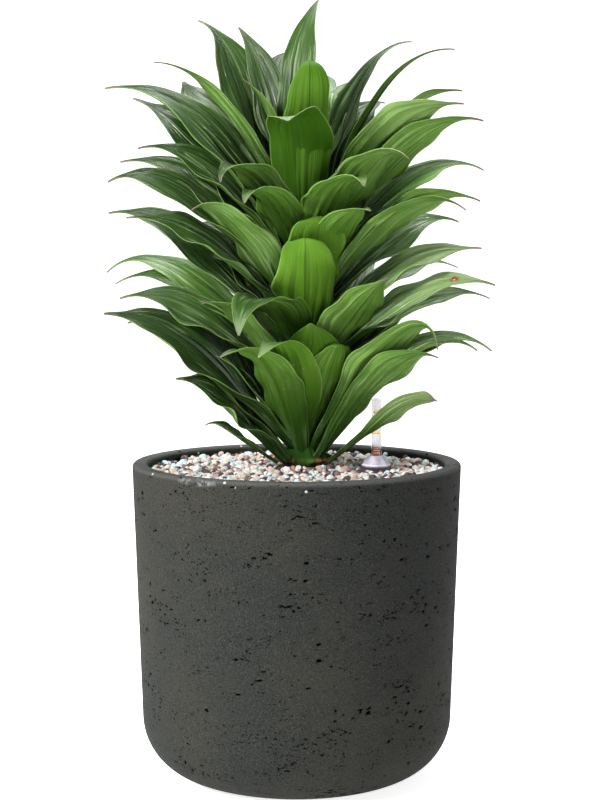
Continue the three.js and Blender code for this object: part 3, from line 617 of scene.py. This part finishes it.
FRONT_LEAVES = [
    (320, 362, 91, 428, 52, -40, 0, 40, 0.52, -15, 0.65),
    (224, 366, 80, 413, 62, -68, 0, 34, 0.55, 0, 0.3),
    (238, 350, 76, 399, 66, -57, 0, 34, 0.55, 0, 0.35),
    (302, 352, 77, 410, 66, -45, 0, 42, 0.5, 0, 0.7),
    (303, 318, 78, 396, 68, -5, 0, 38, 0.55, 0, 0.55),
    (283, 300, 38, 388, 80, 200, 0, 42, 0.72, 0, 0.6),
    (271, 280, 44, 374, 80, 200, 0, 42, 0.64, 0, 0.85),
    (241, 284, 87, 312, 70, -92, 0, 38, 0.5, 0, 0.45),
    (213, 262, 82, 333, 52, -10, 0, 30, 0.6, 0, 0.6),
    (313, 268, 82, 350, 60, 30, 0, 38, 0.62, -15, 0.65),
    (236, 218, 98, 298, 66, -30, -33, 36, 0.5, 0, 0.62),
    (251, 219, 96, 299, 72, -45, -47, 34, 0.5, 0, 0.7),
    (300, 228, 38, 300, 67, 215, 0, 34, 0.68, 0, 0.67),
    (277, 236, 54, 319, 74, 60, 0, 54, 0.55, 0, 0.4),
]
BACK_LEAVES = 10
BACK_SECTOR = (48, 84)  # where it starts, and its width, in degrees
BACK_LOWEST, BACK_RISE = 222, 174  # the height of the lowest foot, and how far up the others go
GOLDEN_ANGLE = 137.5


def back_leaves():
    """The leaves behind the stem: each a golden angle round from the last, folded into a sector,
    and higher up the stem. A seeded rule varies its reach, the height of its tip and its twist."""
    state, rows = 3, []
    for i in range(BACK_LEAVES):
        drawn = []
        for _ in range(3):
            state = (state * 1664525 + 1013904223) % 4294967296
            drawn.append(state / 4294967296)
        share, spiral = i / (BACK_LEAVES - 1), i * GOLDEN_ANGLE / 360
        turn = BACK_SECTOR[0] + BACK_SECTOR[1] * (spiral % 1)
        foot = BACK_LOWEST + BACK_RISE * share
        reach = 118 - 30 * share + 14 * drawn[0]
        tip = foot + 78 + 14 * share + 12 * drawn[1]
        twist = 40 * (drawn[2] - 0.5)
        rows.append((turn, foot, reach, tip, 58 + 12 * share, -25 + 20 * share, 0, 42, 0.6, twist, 0.3))
    return rows


def eased(places, sizes, at):
    """A smooth curve through the given values, flat at none of them: a cubic through each pair
    whose slopes are the mean of the slopes on both sides."""
    slopes = np.gradient(sizes, places)
    i = np.clip(np.searchsorted(places, at) - 1, 0, len(places) - 2)
    span = places[i + 1] - places[i]
    t = (at - places[i]) / span
    return (sizes[i] * (1 + 2 * t) * (1 - t) ** 2 + sizes[i + 1] * t * t * (3 - 2 * t)
            + span * (slopes[i] * t * (1 - t) ** 2 - slopes[i + 1] * t * t * (1 - t)))


def midrib(row, draw):
    """The share of the leaf's length at each station, the points of its midrib, and the directions
    across its face and out of it. The midrib is a cubic curve from the stem to the tip, with the
    slope given at each end and a small curl at the tip. The face is turned about it by the twist,
    which grows from the foot to the blade's middle."""
    turn, foot, reach, tip, rise, fall, veer, _, _, twist, _ = row
    away, up = np.radians(turn), np.array([0, 0, 1.0])
    out = np.array([np.cos(away), np.sin(away), 0])
    axis = np.array([PLANT_X, PLANT_Y, 0])
    low = np.clip((COLLAR_TOP - foot) / (COLLAR_TOP - COLLAR_FOOT), 0, 1)
    spread = COLLAR_SPREAD * low * max(0, 1 - rise / COLLAR_STEEP)
    start = axis + (LEAF_FOOT_RADIUS + spread) * out + foot * up
    end = axis + reach * out + tip * up
    span = np.linalg.norm(end - start) * (1 + ((rise - fall) / 180) ** 2)
    rise, fall = np.radians([rise, fall])
    leave = start + FOOT_HANDLE * span * (np.cos(rise) * out + np.sin(rise) * up)
    veered = np.array([np.cos(away + np.radians(veer)), np.sin(away + np.radians(veer)), 0])
    arrive = end - TIP_HANDLE * span * (np.cos(fall) * veered + np.sin(fall) * up)
    t = np.linspace(0, 1, 400)[:, None]
    curve = (1 - t) ** 3 * start + 3 * (1 - t) ** 2 * t * leave + 3 * (1 - t) * t * t * arrive + t**3 * end
    run = np.r_[0, np.cumsum(np.linalg.norm(np.diff(curve, axis=0), axis=1))]
    share = 1 - (1 - np.linspace(0, 1, BLADE_STATIONS)) ** TIP_CROWDING
    middle = np.stack([np.interp(share, run / run[-1], curve[:, k]) for k in range(3)], 1)
    tangent = np.gradient(middle, share, axis=0)
    tangent /= np.linalg.norm(tangent, axis=1, keepdims=True)
    flat = np.array([-np.sin(away), np.cos(away), 0])
    held = np.clip(share / TWIST_LENGTH, 0, 1)
    roll = np.radians(twist) * (held * held * (3 - 2 * held))[:, None]
    flat = flat - tangent * (tangent @ flat)[:, None]
    flat /= np.linalg.norm(flat, axis=1, keepdims=True)
    across = flat * np.cos(roll) + np.cross(tangent, flat) * np.sin(roll)
    face = np.cross(tangent, across)
    curl = np.clip((share - CURL_START) / (1 - CURL_START), 0, 1)[:, None] ** 2
    sideways = across * draw.uniform(-CURL_ACROSS, CURL_ACROSS)
    middle = middle + curl * (sideways + face * draw.uniform(-CURL_UP, CURL_UP))
    return share, middle, across, face


def blade(row, number):
    """One leaf as rings of points, and its values. The section is an arc folded up about the
    midrib. On it lie a wave that grows towards the margins, ripples of the margins themselves,
    pleats that run lengthwise, a shallow buckle and the groove of the midrib. The lower face lies
    the blade's thickness outside the upper one, and the two form one ring at each station."""
    away, width, full, tone = np.radians(row[0]), row[7], row[8], row[10]
    draw = np.random.default_rng(300 + number)
    share, middle, across, face = midrib(row, draw)
    long, side = share[:, None], np.linspace(-1, 1, BLADE_SIDES)[None]
    aside = abs(np.cos(away))

    def swing(fewest, most, count=None):
        """The angle of a wave that turns so many times along the blade, from a random start."""
        return 2 * np.pi * (draw.uniform(fewest, most, count) * long + draw.random(count))

    at = np.interp(share, [0, full, 1], [0, WIDEST, 1])
    wide = (0.5 * width * eased(WIDTH_PLACES, WIDTHS - SIDE_NARROWING * aside, at).clip(0.03))[:, None]
    fold = np.radians(np.interp(share, FOLD_PLACES, FOLD_ANGLES))[:, None]
    lean = 1 + np.interp(np.cos(away), [-1, 0, 1], [0.14, 0, -0.05]) + 0.07 * np.sin(swing(1.2, 2.4, 2))
    lean = lean + 0.045 * np.abs(np.sin(swing(4, 7, 2) / 2)) - 0.02
    bend = wide / fold * np.where(side < 0, lean[:, :1], lean[:, 1:])
    swell = np.sin(np.pi * np.clip(long * 1.05, 0, 1))
    spiral = number * GOLDEN_ANGLE / 360
    wave = WAVE * wide * side * np.abs(side) * np.sin(2 * np.pi * (2 * long + spiral))
    for edge in (-1, 1):
        ripple = np.sin(swing(2.5, 5))
        wave = wave + RIPPLE * wide * swell * np.clip(side * edge, 0, 1) ** 3 * ripple
    pleats = 0
    for size, fewest, most in PLEATS:
        phase = np.pi * draw.uniform(fewest, most) * side + draw.uniform(0, 6.28)
        pleats = pleats + size * np.sin(phase + draw.normal(0, 1) * long)
    buckle = BUCKLE * np.sin(swing(0.8, 1.6) + draw.uniform(-1, 1) * side)
    groove = -GROOVE_DEPTH * np.exp(-((side / GROOVE_WIDTH) ** 2))
    relief = pleats * (0.35 + 0.65 * aside) * (1 - side**6) + buckle * 0.6 + groove
    lift = wave + relief * swell * np.clip(wide / RELIEF_FROM, 0, 1)
    turned_by = fold * side
    normal = face[:, None] * np.cos(turned_by)[..., None] - across[:, None] * np.sin(turned_by)[..., None]
    upper = (middle[:, None] + across[:, None] * (bend * np.sin(turned_by))[..., None]
             + face[:, None] * (bend * (1 - np.cos(turned_by)))[..., None] + normal * lift[..., None])
    lower = upper - normal * (BLADE_THICKNESS * (1 - MARGIN_THINNING * np.abs(side) ** 3))[..., None]
    rings = np.concatenate([lower, upper[:, ::-1]], 1)
    both = np.concatenate([side, side[:, ::-1]], 1)
    faces = np.r_[np.zeros(BLADE_SIDES), np.ones(BLADE_SIDES)][None]
    values = {
        "across": np.repeat(both, BLADE_STATIONS, 0),
        "along": np.repeat(long, 2 * BLADE_SIDES, 1),
        "above": np.repeat(faces, BLADE_STATIONS, 0),
        "tone": np.full(rings.shape[:2], tone),
        "draw": np.full(rings.shape[:2], number * 0.618 % 1),
        "aside": np.full(rings.shape[:2], aside),
    }
    return rings, values


leaf_groups = {"crown": CROWN_LEAVES, "left": LEFT_LEAVES, "right": RIGHT_LEAVES, "front": FRONT_LEAVES,
               "back": back_leaves()}
leaves, number = [], 0
for name, rows in leaf_groups.items():
    made = [blade(row, number + i) for i, row in enumerate(rows)]
    number += len(rows)
    values = {key: np.stack([leaf[1][key] for leaf in made]) for key in made[0][1]}
    leaves.append(ringed_object("leaves_" + name, np.stack([leaf[0] for leaf in made]), values))

# In each pair of greens the first is for dark leaves, or for lower faces, and the second for light
# leaves, or for upper faces.
TOP_GREENS = [(0.01, 0.036, 0.004), (0.105, 0.235, 0.045)]
UNDER_GREENS = [(0.022, 0.072, 0.002), (0.105, 0.235, 0.02)]
WIDE_VEINS = [(0.026, 0.08, 0.004), (0.105, 0.24, 0.014)]
FINE_VEINS = [(0.04, 0.1, 0.01), (0.14, 0.27, 0.035)]
SHADED_GREENS = [(0.009, 0.034, 0.002), (0.006, 0.016, 0.005)]
PAINTED_UNDER_SHEEN = (0.2, 0.34, 0.1)
PATCH, RIB = (0.015, 0.06, 0.004), (0.015, 0.05, 0.006)
PAINTED_HIGHLIGHT_LINE, MARGIN = (0.36, 0.5, 0.25), (0.22, 0.36, 0.1)
PAINTED_LIGHT_HALF, PAINTED_LIT_TIP, WHIP = (0.27, 0.38, 0.16), (0.27, 0.37, 0.19), (0.2, 0.19, 0.12)
BLEMISH_PLACE = (0.1085, -0.0155, 0.3479)
BLEMISH_RIM, BLEMISH_HEART = (0.32, 0.045, 0.03), (0.75, 0.7, 0.66)
DUST = (0.5, 0.6, 0.42)

look = Look("leaf_blades")
place = look.place()
_, to_back, height = look.axes()
across, along, above = look.value("across"), look.value("along"), look.value("above")
tone, drawn, aside = look.value("tone"), look.value("draw"), look.value("aside")
under = look.less(1.0, above)
beside = look.math("ABSOLUTE", across)
apart = look.times(drawn, 37.0)


def veins(bands, waves, detail, rough, bent=0.0):
    """A noise of so many bands across half a blade and so many waves along it, its own on each leaf."""
    where = look.vector(look.times(across, bands), look.times(along, waves), apart)
    return look.noise(where, 1.0, detail, rough, bent)


wide_veins = veins(3.2, 0.9, 3.0, 0.6)
streaks = veins(8.0, 1.3, 2.0, 0.55, 0.4)
lines = veins(6.0, 0.8, 3.0, 0.6)
fine_veins = veins(26.0, 1.6, 2.0, 0.6)
patches = veins(0.9, 4.0, 2.0, 0.5)
dark_top = look.mix(look.math("POWER", tone, 1.4), *TOP_GREENS)
green = look.mix(above, look.mix(tone, *UNDER_GREENS), dark_top)
# Painted sheen: the lower faces of leaves that point to a side are painted paler and greyer.
green = look.mix(look.times(look.fit(aside, 0.3, 0.9, 0.0, 0.4), under), green, PAINTED_UNDER_SHEEN)
green = look.mix(look.fit(wide_veins, 0.35, 0.7, 0.0, 0.4), green, look.mix(tone, *WIDE_VEINS))
green = look.mix(look.fit(fine_veins, 0.4, 0.7, 0.0, 0.3), green, look.mix(tone, *FINE_VEINS))
green = look.mix(look.fit(patches, 0.3, 0.7, 0.3, 0.0), green, PATCH)

# Painted shade lies in streaks, and is deep towards the foot, near the stem. Thin painted
# highlights run as lines between the veins.
shade = look.times(look.fit(streaks, 0.4, 0.56, 1.0, 0.0), look.fit(along, 0.15, 0.85, 0.95, 0.35),
                   look.fit(tone, 0.6, 1.0, 1.0, 0.6), look.fit(above, 0.0, 1.0, 0.4, 1.0))
shade = look.most(shade, look.fit(along, 0.05, 0.74, 0.97, 0.0))
green = look.mix(shade, green, look.mix(above, *SHADED_GREENS))
bright = look.times(look.fit(look.off(lines, 0.5), 0.0, 0.035, 1.0, 0.0), look.fit(patches, 0.42, 0.58))
lit = look.most(look.times(above, 0.5), look.fit(aside, 0.2, 0.9, 0.05, 0.35))
green = look.mix(look.times(bright, lit), green, PAINTED_HIGHLIGHT_LINE)

# The lightest leaves are painted paler in their outer halves, a painted light where they are lit
# most. The midrib is dark, and the margins are pale.
pale = look.times(look.fit(tone, 0.9, 1.0), look.fit(along, 0.4, 0.72, 0.0, 0.65))
green = look.mix(pale, green, PAINTED_LIGHT_HALF)
green = look.mix(look.times(look.fit(beside, 0.0, 0.05, 1.0, 0.0), 0.6), green, RIB)
green = look.mix(look.times(look.fit(beside, 0.95, 1.0), 0.6), green, MARGIN)

# One dry spot on a leaf at the right, dust on the low leaves in front and behind, painted light on
# the tips of the leaves that curl to the front and face up to the light, and the brown whips.
spot = look.plus(look.away(BLEMISH_PLACE), look.times(look.noise(place, 300.0, 2.0), 0.004))
green = look.mix(look.fit(spot, 0.0045, 0.0055, 1.0, 0.0), green, BLEMISH_RIM)
green = look.mix(look.fit(spot, 0.0027, 0.0033, 1.0, 0.0), green, BLEMISH_HEART)
dust = look.times(look.fit(look.cells(place, 260.0), 0.06, 0.12, 1.0, 0.0),
                  look.fit(height, 0.3, 0.34, 1.0, 0.0), look.fit(look.noise(place, 34.0, 1.0), 0.52, 0.6),
                  look.fit(aside, 0.5, 0.7, 0.75, 0.0))
green = look.mix(dust, green, DUST)
lit_tips = look.times(look.fit(to_back, -0.035, -0.025, 1.0, 0.0), above,
                    look.fit(along, 0.88, 0.96, 0.0, 0.4), look.fit(aside, 0.55, 0.7, 1.0, 0.0))
green = look.mix(lit_tips, green, PAINTED_LIT_TIP)
whip = look.times(look.fit(along, 0.93, 0.97), look.fit(aside, 0.3, 0.8, 0.1, 0.85))
green = look.mix(whip, green, WHIP)

# Lower faces, and leaves that point to the front or the back, are duller.
rough = look.most(look.times(under, 0.14), look.fit(aside, 0.3, 0.6, 0.16, 0.0))
rough = look.plus(look.fit(wide_veins, 0.3, 0.7, 0.24, 0.34), rough)
gloss = look.times(look.fit(above, 0.0, 1.0, 0.07, 0.42), look.fit(aside, 0.2, 0.6, 0.55, 1.0))
relief = look.plus(fine_veins, look.times(streaks, 2.4))
relief = look.bump(relief, 0.0014, look.fit(aside, 0.2, 0.8, 0.35, 0.9))
look.finish("leafy_stem", "leafy_stem", leaves, green, rough, relief, Specular_IOR_Level=gloss)

# The cane that carries the leaves: a short green stem, ringed by the scars of fallen leaves, with a
# torn collar of old leaf bases at its foot, green in front and brown at its sides.

STEM_SIDES = 96
STEM_FOOT, STEM_TOP = 151, 420
STEM_RADIUS, STEM_TIP_RADIUS = 7.4, 3.6
SCAR_HEIGHT = 0.2
COLLAR_PLACES = [COLLAR_FOOT - 1, COLLAR_FOOT + 3, 231, COLLAR_TOP]
COLLAR_RADII = [STEM_RADIUS, 14.5, 8.2, STEM_RADIUS]
COLLAR_STRETCH, COLLAR_SQUASH = 0.6, 0.3  # how much wider it is, and how much less deep
COLLAR_TEARS = ((0.05, 5, 1), (0.03, 9, 0), (0.02, 14, 2), (0.02, 23, 0))  # depth, number, start
BARK = (0.02, 0.01, 0.006), (0.19, 0.085, 0.045)
SHEATH = (0.012, 0.04, 0.003), (0.06, 0.12, 0.022)
CANE = (0.012, 0.045, 0.004)


def stem_rings():
    """Rings up the cane, with a low ridge round it at each leaf scar. At the collar the radius
    swells, is torn by a sum of sines of the angle, and is stretched across and squashed in depth."""
    height = np.linspace(STEM_FOOT, STEM_TOP, 300)
    places = [STEM_FOOT, *COLLAR_PLACES, 400, STEM_TOP]
    radius = np.interp(height, places, [STEM_RADIUS, *COLLAR_RADII, STEM_RADIUS, STEM_TIP_RADIUS])
    radius = radius + SCAR_HEIGHT * np.abs(np.sin(height / 2.4))
    rings = turned(np.stack([radius, height], 1), STEM_SIDES)
    swell = np.interp(height, COLLAR_PLACES, [0, 1, 0, 0])[:, None]
    rings[..., 0] *= 1 + COLLAR_STRETCH * swell
    angle = np.arange(STEM_SIDES) * 2 * np.pi / STEM_SIDES
    torn = sum(deep * np.sin(often * angle + start) for deep, often, start in COLLAR_TEARS)
    rings[..., :2] *= (1 + torn * np.interp(height, COLLAR_PLACES, [0, 1, 0.8, 0])[:, None])[..., None]
    rings[..., 1] *= 1 - COLLAR_SQUASH * swell
    return rings + np.array([PLANT_X, PLANT_Y, 0])


stem = ringed_object("stem", stem_rings()[None])
look = Look("stem_bark")
to_right, _, height = look.axes()
ribs = look.noise(look.stretched(look.place(), (1, 1, 0.15)), 260.0, 4.0)
bark = look.mix(look.fit(ribs, 0.35, 0.65), *BARK)
sheath = look.mix(look.fit(ribs, 0.35, 0.7), *SHEATH)
at_side = look.plus(look.off(to_right, 0.0055), look.times(ribs, 0.006))
bark = look.mix(look.fit(at_side, 0.009, 0.012), sheath, bark)
up = look.plus(height, look.times(ribs, 0.004))
bark = look.mix(look.fit(up, 0.2235, 0.226), bark, CANE)
look.finish("leafy_stem", "leafy_stem", [stem], bark, 0.8, look.bump(ribs, 0.002), Specular_IOR_Level=0.1)

# ---- Water gauge ----
# A clear tube stands in an eight-sided lilac cap over a slotted casing sunk in the granules. A
# float in the casing lifts a rod, whose red pointer shows the level in the tube.

GAUGE = np.array([GAUGE_X, GAUGE_Y, 0])
CAP_RADIUS, CAP_TOP_RADIUS, CAP_BORE = 10.6, 5.3, 6.4
CAP_FOOT, CAP_SHOULDER, CAP_TOP = 207.2, 216.9, 223.7
LILAC = [(0.36, 0.35, 0.43), (0.54, 0.52, 0.62)]
PAINTED_EDGE_HIGHLIGHT, CAP_SHADE = (0.85, 0.84, 0.92), (0.05, 0.03, 0.045)


def eight_sided(profile, sides, roundness):
    """A turned profile whose rings are octagons with softened corners where roundness is 0, and
    circles where it is 1: each radius is the flat's distance over the cosine from its middle."""
    rings = turned(profile, sides)
    angle = np.arange(sides) * 2 * np.pi / sides
    flat = np.cos(np.pi / 8) / np.cos((angle % (np.pi / 4)) - np.pi / 8)
    flat = np.minimum(flat, 0.997)
    factor = flat[None] * (1 - roundness[:, None]) + roundness[:, None]
    rings[..., :2] *= factor[..., None]
    return rings + GAUGE


cap_profile = np.vstack([
    line([CAP_BORE, 212.5], [CAP_BORE, CAP_FOOT], 2), line([8.9, CAP_FOOT], [10.3, CAP_FOOT], 2),
    line([CAP_RADIUS, 207.5], [CAP_RADIUS, CAP_SHOULDER], 8),
    arc(CAP_RADIUS - 0.6, CAP_SHOULDER, 0.6, 0, 50, 4),
    line([10.2, 217.6], [CAP_TOP_RADIUS, CAP_TOP], 14),
    arc(CAP_TOP_RADIUS - 0.6, 223.3, 0.6, 40, 90, 4), [[4.1, 223.9], [4.0, 214.8]],
])
roundness = np.interp(cap_profile[:, 1], [217, 223.5], [0, 0.4])
roundness[:2] = 1
roundness[-3:] = 1
cap = ringed_object("gauge_cap_body", eight_sided(cap_profile, 96, roundness)[None], hollow=True)
look = Look("lilac_plastic")
height = look.axes()[2]
streak = look.noise(look.stretched(look.place(), (1, 1, 0.2)), 260.0, 2.0)
lilac = look.mix(look.fit(streak, 0.3, 0.7), *LILAC)
# Painted light and shade: a pale painted highlight along the shoulder's edge, and painted shade on the band
# below the shoulder.
lilac = look.mix(look.fit(look.off(height, 0.2176), 0.0003, 0.0006, 0.8, 0.0), lilac, PAINTED_EDGE_HIGHLIGHT)
lilac = look.mix(look.fit(height, 0.2155, 0.2185), CAP_SHADE, lilac)
look.finish("gauge_cap", "gauge_cap", [cap], lilac, 0.22, look.bump(streak, 0.0003, 0.3),
            Specular_IOR_Level=0.6)

# The tube is clear in its lowest part, where the pointer rests. Above that it is a little milky,
# and a faint painted glow stands in for the light that its milky wall scatters.

TUBE_RADIUS, TUBE_BORE = 3.7, 2.9
TUBE_FOOT, TUBE_TOP = 215.2, 264.5
CLEAR = [(0.9, 0.89, 0.92), (0.97, 0.96, 0.98)]
PAINTED_TUBE_GLOW = (1.0, 0.98, 1.0)

tube_profile = np.vstack([
    [[0.4, 263.6]], line([2.6, 263.6], [TUBE_BORE, 263.2], 2),
    line([TUBE_BORE, 263.2], [TUBE_BORE, TUBE_FOOT], 24), [[TUBE_BORE, TUBE_FOOT], [3.5, TUBE_FOOT]],
    line([TUBE_RADIUS, 215.5], [TUBE_RADIUS, 263.9], 24), arc(3.1, 263.9, 0.6, 0, 90, 4), [[0.4, TUBE_TOP]],
])
tube = ringed_object("gauge_tube_wall", turned(tube_profile, 64)[None] + GAUGE)
look = Look("clear_plastic")
height = look.axes()[2]
haze = look.noise(look.stretched(look.place(), (1, 1, 0.15)), 300.0, 2.0)
see_through = look.fit(height, 0.2285, 0.2305, 0.95, 0.72)
glow = look.fit(height, 0.2285, 0.25, 0.0, 0.07)
look.finish("gauge_tube", "gauge_tube", [tube], look.mix(haze, *CLEAR), 0.12, look.bump(haze, 0.0002, 0.3),
            Transmission_Weight=see_through, IOR=1.05, Emission_Color=PAINTED_TUBE_GLOW, Emission_Strength=glow)

# Plain yellow level bars are printed on the front of the tube, in three pairs.

BARS = ((253.9, 1.2), (255.7, 0.4), (239.3, 1.2), (241.1, 0.5), (227.6, 0.3), (225.8, 0.3))
BAR_HALF_ANGLE = 36
BAR_SINK, BAR_RISE = 0.1, 0.12  # how far a bar reaches into the tube and out of it
YELLOWS = [(0.75, 0.48, 0.02), (0.9, 0.62, 0.04)]


def marks():
    """Plain level bars on the tube, from the height and the thickness of each: short arcs of a
    ring that face the front, each a closed strip as wide as its arc with a four-cornered section."""
    solids = []
    angle = np.radians(np.linspace(-90 - BAR_HALF_ANGLE, -90 + BAR_HALF_ANGLE, 15))[:, None]
    inside, outside = TUBE_RADIUS - BAR_SINK, TUBE_RADIUS + BAR_RISE
    radius = np.array([[inside, outside, outside, inside]])
    for height, tall in BARS:
        level = np.array([[height, height, height + tall, height + tall]])
        ring = np.stack([radius * np.cos(angle), radius * np.sin(angle), level + 0 * angle], -1)
        solids.append(ring[::-1] + GAUGE)
    return np.stack(solids)


bars = ringed_object("gauge_marks", marks())
look = Look("yellow_print")
ink = look.noise(look.place(), 900.0, 3.0)
# The bars carry a painted glow in their own yellow, which keeps them bright where they lie in shade.
look.finish("gauge_tube", "gauge_tube", [bars], look.mix(ink, *YELLOWS), 0.4, look.bump(ink, 0.0001, 0.3),
            Emission_Color=YELLOWS[1], Emission_Strength=0.35)

# The casing stands on the pot's floor, and the float slides up and down in it. Both are hidden, so
# the casing's wall is plain here, without its slots.

CASING_RADIUS, CASING_BORE = 8, 6.7
CASING_FOOT, CASING_TOP = 14.3, 212
FLOAT_RADIUS, ROD_RADIUS = 5.6, 1.4
GREYS = [(0.07, 0.05, 0.075), (0.12, 0.09, 0.13)]
FOAMS = [(0.6, 0.58, 0.55), (0.82, 0.8, 0.77)]

casing_profile = np.vstack([
    [[2.4, CASING_FOOT]], line([7.6, CASING_FOOT], [8, 14.7], 2),
    line([CASING_RADIUS, 14.7], [CASING_RADIUS, CASING_TOP], 40),
    [[CASING_RADIUS, CASING_TOP], [CASING_BORE, CASING_TOP]],
    line([CASING_BORE, CASING_TOP], [CASING_BORE, 15.8], 30), [[CASING_BORE, 15.8], [2.4, 15.8]],
])
casing = ringed_object("gauge_casing_wall", turned(casing_profile, 64)[None] + GAUGE)
look = Look("grey_plastic")
grit = look.noise(look.place(), 500.0, 3.0)
look.finish("gauge_casing", "gauge_casing", [casing], look.mix(grit, *GREYS), 0.5,
            look.bump(grit, 0.0002, 0.4))

float_profile = np.vstack([
    line([0.5, 16.1], [4.6, 16.1], 3), arc(4.6, 17.1, 1, -90, 0, 4),
    line([FLOAT_RADIUS, 17.1], [FLOAT_RADIUS, 54], 20), arc(4.6, 54, 1, 0, 60, 4),
    line([4.5, 55.2], [ROD_RADIUS, 58], 4), line([ROD_RADIUS, 58], [ROD_RADIUS, 223.2], 60),
    [[ROD_RADIUS, 223.2], [0.4, 223.2]],
])
bob = ringed_object("gauge_float_rod", turned(float_profile, 48)[None] + GAUGE)
look = Look("white_foam")
foam = look.cells(look.place(), 900.0)
look.finish("gauge_float", "gauge_float", [bob], look.mix(foam, *FOAMS), 0.5,
            look.bump(foam, 0.0002, 0.4), body="float")

# The pointer is a red bead on the rod's end, with a painted glow that keeps it bright enough to
# show through the tube's haze.

POINTER_RADIUS, POINTER_FOOT, POINTER_TOP = 2.2, 223.5, 228.5
REDS = [(0.24, 0.004, 0.02), (0.34, 0.01, 0.03)]
PAINTED_RED_GLOW = (0.4, 0.002, 0.03)

pointer_profile = np.vstack([
    line([0.4, POINTER_FOOT], [1.9, POINTER_FOOT], 2), arc(1.9, 223.8, 0.3, -90, 0, 3),
    line([POINTER_RADIUS, 223.8], [POINTER_RADIUS, 227.7], 10),
    arc(1.4, 227.7, 0.8, 0, 90, 5), [[0.4, POINTER_TOP]],
])
pointer = ringed_object("gauge_pointer_bead", turned(pointer_profile, 48)[None] + GAUGE)
look = Look("red_plastic")
swirl = look.noise(look.place(), 500.0, 2.0)
look.finish("gauge_pointer", "gauge_pointer", [pointer], look.mix(swirl, *REDS), 0.3,
            look.bump(swirl, 0.0001, 0.3), body="float", Emission_Color=PAINTED_RED_GLOW, Emission_Strength=0.25)

# ---- Floor, light and camera ----
# A plain white sheet that runs back from under the pot and sweeps up behind it. The surround is dim
# from the sides and brighter from above, and looks pale where the camera sees it.

# The floor's, the lights' and the camera's places and sizes are in metres.
SWEEP_START, SWEEP_RADIUS, SWEEP_TOP = 6.0, 2, 9
FLOOR_HALF_WIDTH, FLOOR_FRONT = 9, -4
PAPER = (0.9, 0.9, 0.9)

quarter = np.linspace(0, np.pi / 2, 17)
back, high = SWEEP_RADIUS * np.sin(quarter), SWEEP_RADIUS * np.cos(quarter)
bend = np.stack([SWEEP_START + back, SWEEP_RADIUS - high], 1)
sweep = np.vstack([[[FLOOR_FRONT, 0]], bend, [[SWEEP_START + SWEEP_RADIUS, SWEEP_TOP]]])
points = np.concatenate([np.insert(sweep, 0, -FLOOR_HALF_WIDTH, 1), np.insert(sweep, 0, FLOOR_HALF_WIDTH, 1)])
row = np.arange(len(sweep) - 1)
sheet = np.stack([row, row + len(sweep), row + len(sweep) + 1, row + 1], 1)
floor = mesh_object("floor", points * 1000, sheet.tolist(), {})

# The paper has a light of its own round the pot and behind it, and less towards its front and its
# sides.
paper = Look("white_paper")
paper.join(paper.shader.inputs["Base Color"], PAPER)
paper.join(paper.shader.inputs["Roughness"], 0.9)
paper.join(paper.shader.inputs["Emission Color"], (1, 1, 1))
to_right, to_back, _ = paper.axes()
beside = paper.less(paper.math("ABSOLUTE", to_right), paper.times(to_back, 0.2))
glow = paper.times(paper.fit(to_back, -0.7, -0.12), paper.fit(beside, 0.3, 0.9, 0.8, 0.25))
paper.join(paper.shader.inputs["Emission Strength"], glow)
floor.data.materials.append(paper.material)

SKY_HEIGHTS, SKY_LIGHTS = (-0.1, 0.9), (0.07, 0.4)  # its light rises with the height it comes from
SKY_SEEN = 0.9

world = bpy.data.worlds.new("surround")
world.use_nodes = True
sky = world.node_tree
view = sky.nodes.new("ShaderNodeSeparateXYZ")
rise = sky.nodes.new("ShaderNodeMapRange")
rise.interpolation_type = "SMOOTHSTEP"
for socket, number in zip(rise.inputs[1:5], SKY_HEIGHTS + SKY_LIGHTS):
    socket.default_value = number
sky.links.new(sky.nodes.new("ShaderNodeTexCoord").outputs["Generated"], view.inputs[0])
sky.links.new(view.outputs[2], rise.inputs[0])
seen = sky.nodes.new("ShaderNodeMix")
seen.inputs[3].default_value = SKY_SEEN
sky.links.new(sky.nodes.new("ShaderNodeLightPath").outputs["Is Camera Ray"], seen.inputs[0])
sky.links.new(rise.outputs[0], seen.inputs[2])
sky.links.new(seen.outputs[0], sky.nodes["Background"].inputs[1])
sky.nodes["Background"].inputs[0].default_value = (1, 1, 1, 1)
bpy.context.scene.world = world


def soft_light(name, place, aim, size, watts, colour):
    """A square area light at a place in metres, turned so that it shines at another."""
    light = bpy.data.lights.new(name, "AREA")
    light.size = size
    light.energy = watts
    light.color = colour
    lamp = bpy.data.objects.new(name, light)
    lamp.location = place
    direction = Vector(aim) - Vector(place)
    lamp.rotation_euler = direction.to_track_quat("-Z", "Y").to_euler()
    bpy.context.scene.collection.objects.link(lamp)


# The key stands above the left of the camera. A weak light fills the front from the right, and a
# large one from above and behind lights the upper leaves.
soft_light("key", (-1.6, -1.4, 1.5), (0, 0, 0.3), 0.6, 98, (1, 0.98, 0.95))
soft_light("front", (0.9, -2.0, 0.45), (0, 0, 0.36), 0.8, 15, (1, 1, 0.98))
soft_light("top", (0.1, 0.5, 1.9), (0, 0, 0.3), 0.8, 44, (1, 1, 1))

CAMERA_PLACE = (0.0023, -1.242, 0.374)
CAMERA_DROOP = 0.089  # how far it looks down, in radians
CAMERA_LENS, CAMERA_SENSOR = 80.1, 36  # millimetres

camera = bpy.data.objects.new("camera", bpy.data.cameras.new("camera"))
camera.data.lens = CAMERA_LENS
camera.data.sensor_width = CAMERA_SENSOR
camera.location = CAMERA_PLACE
camera.rotation_euler = (np.pi / 2 - CAMERA_DROOP, 0, 0)
bpy.context.scene.collection.objects.link(camera)
bpy.context.scene.camera = camera
bpy.context.scene.view_settings.view_transform = "Standard"
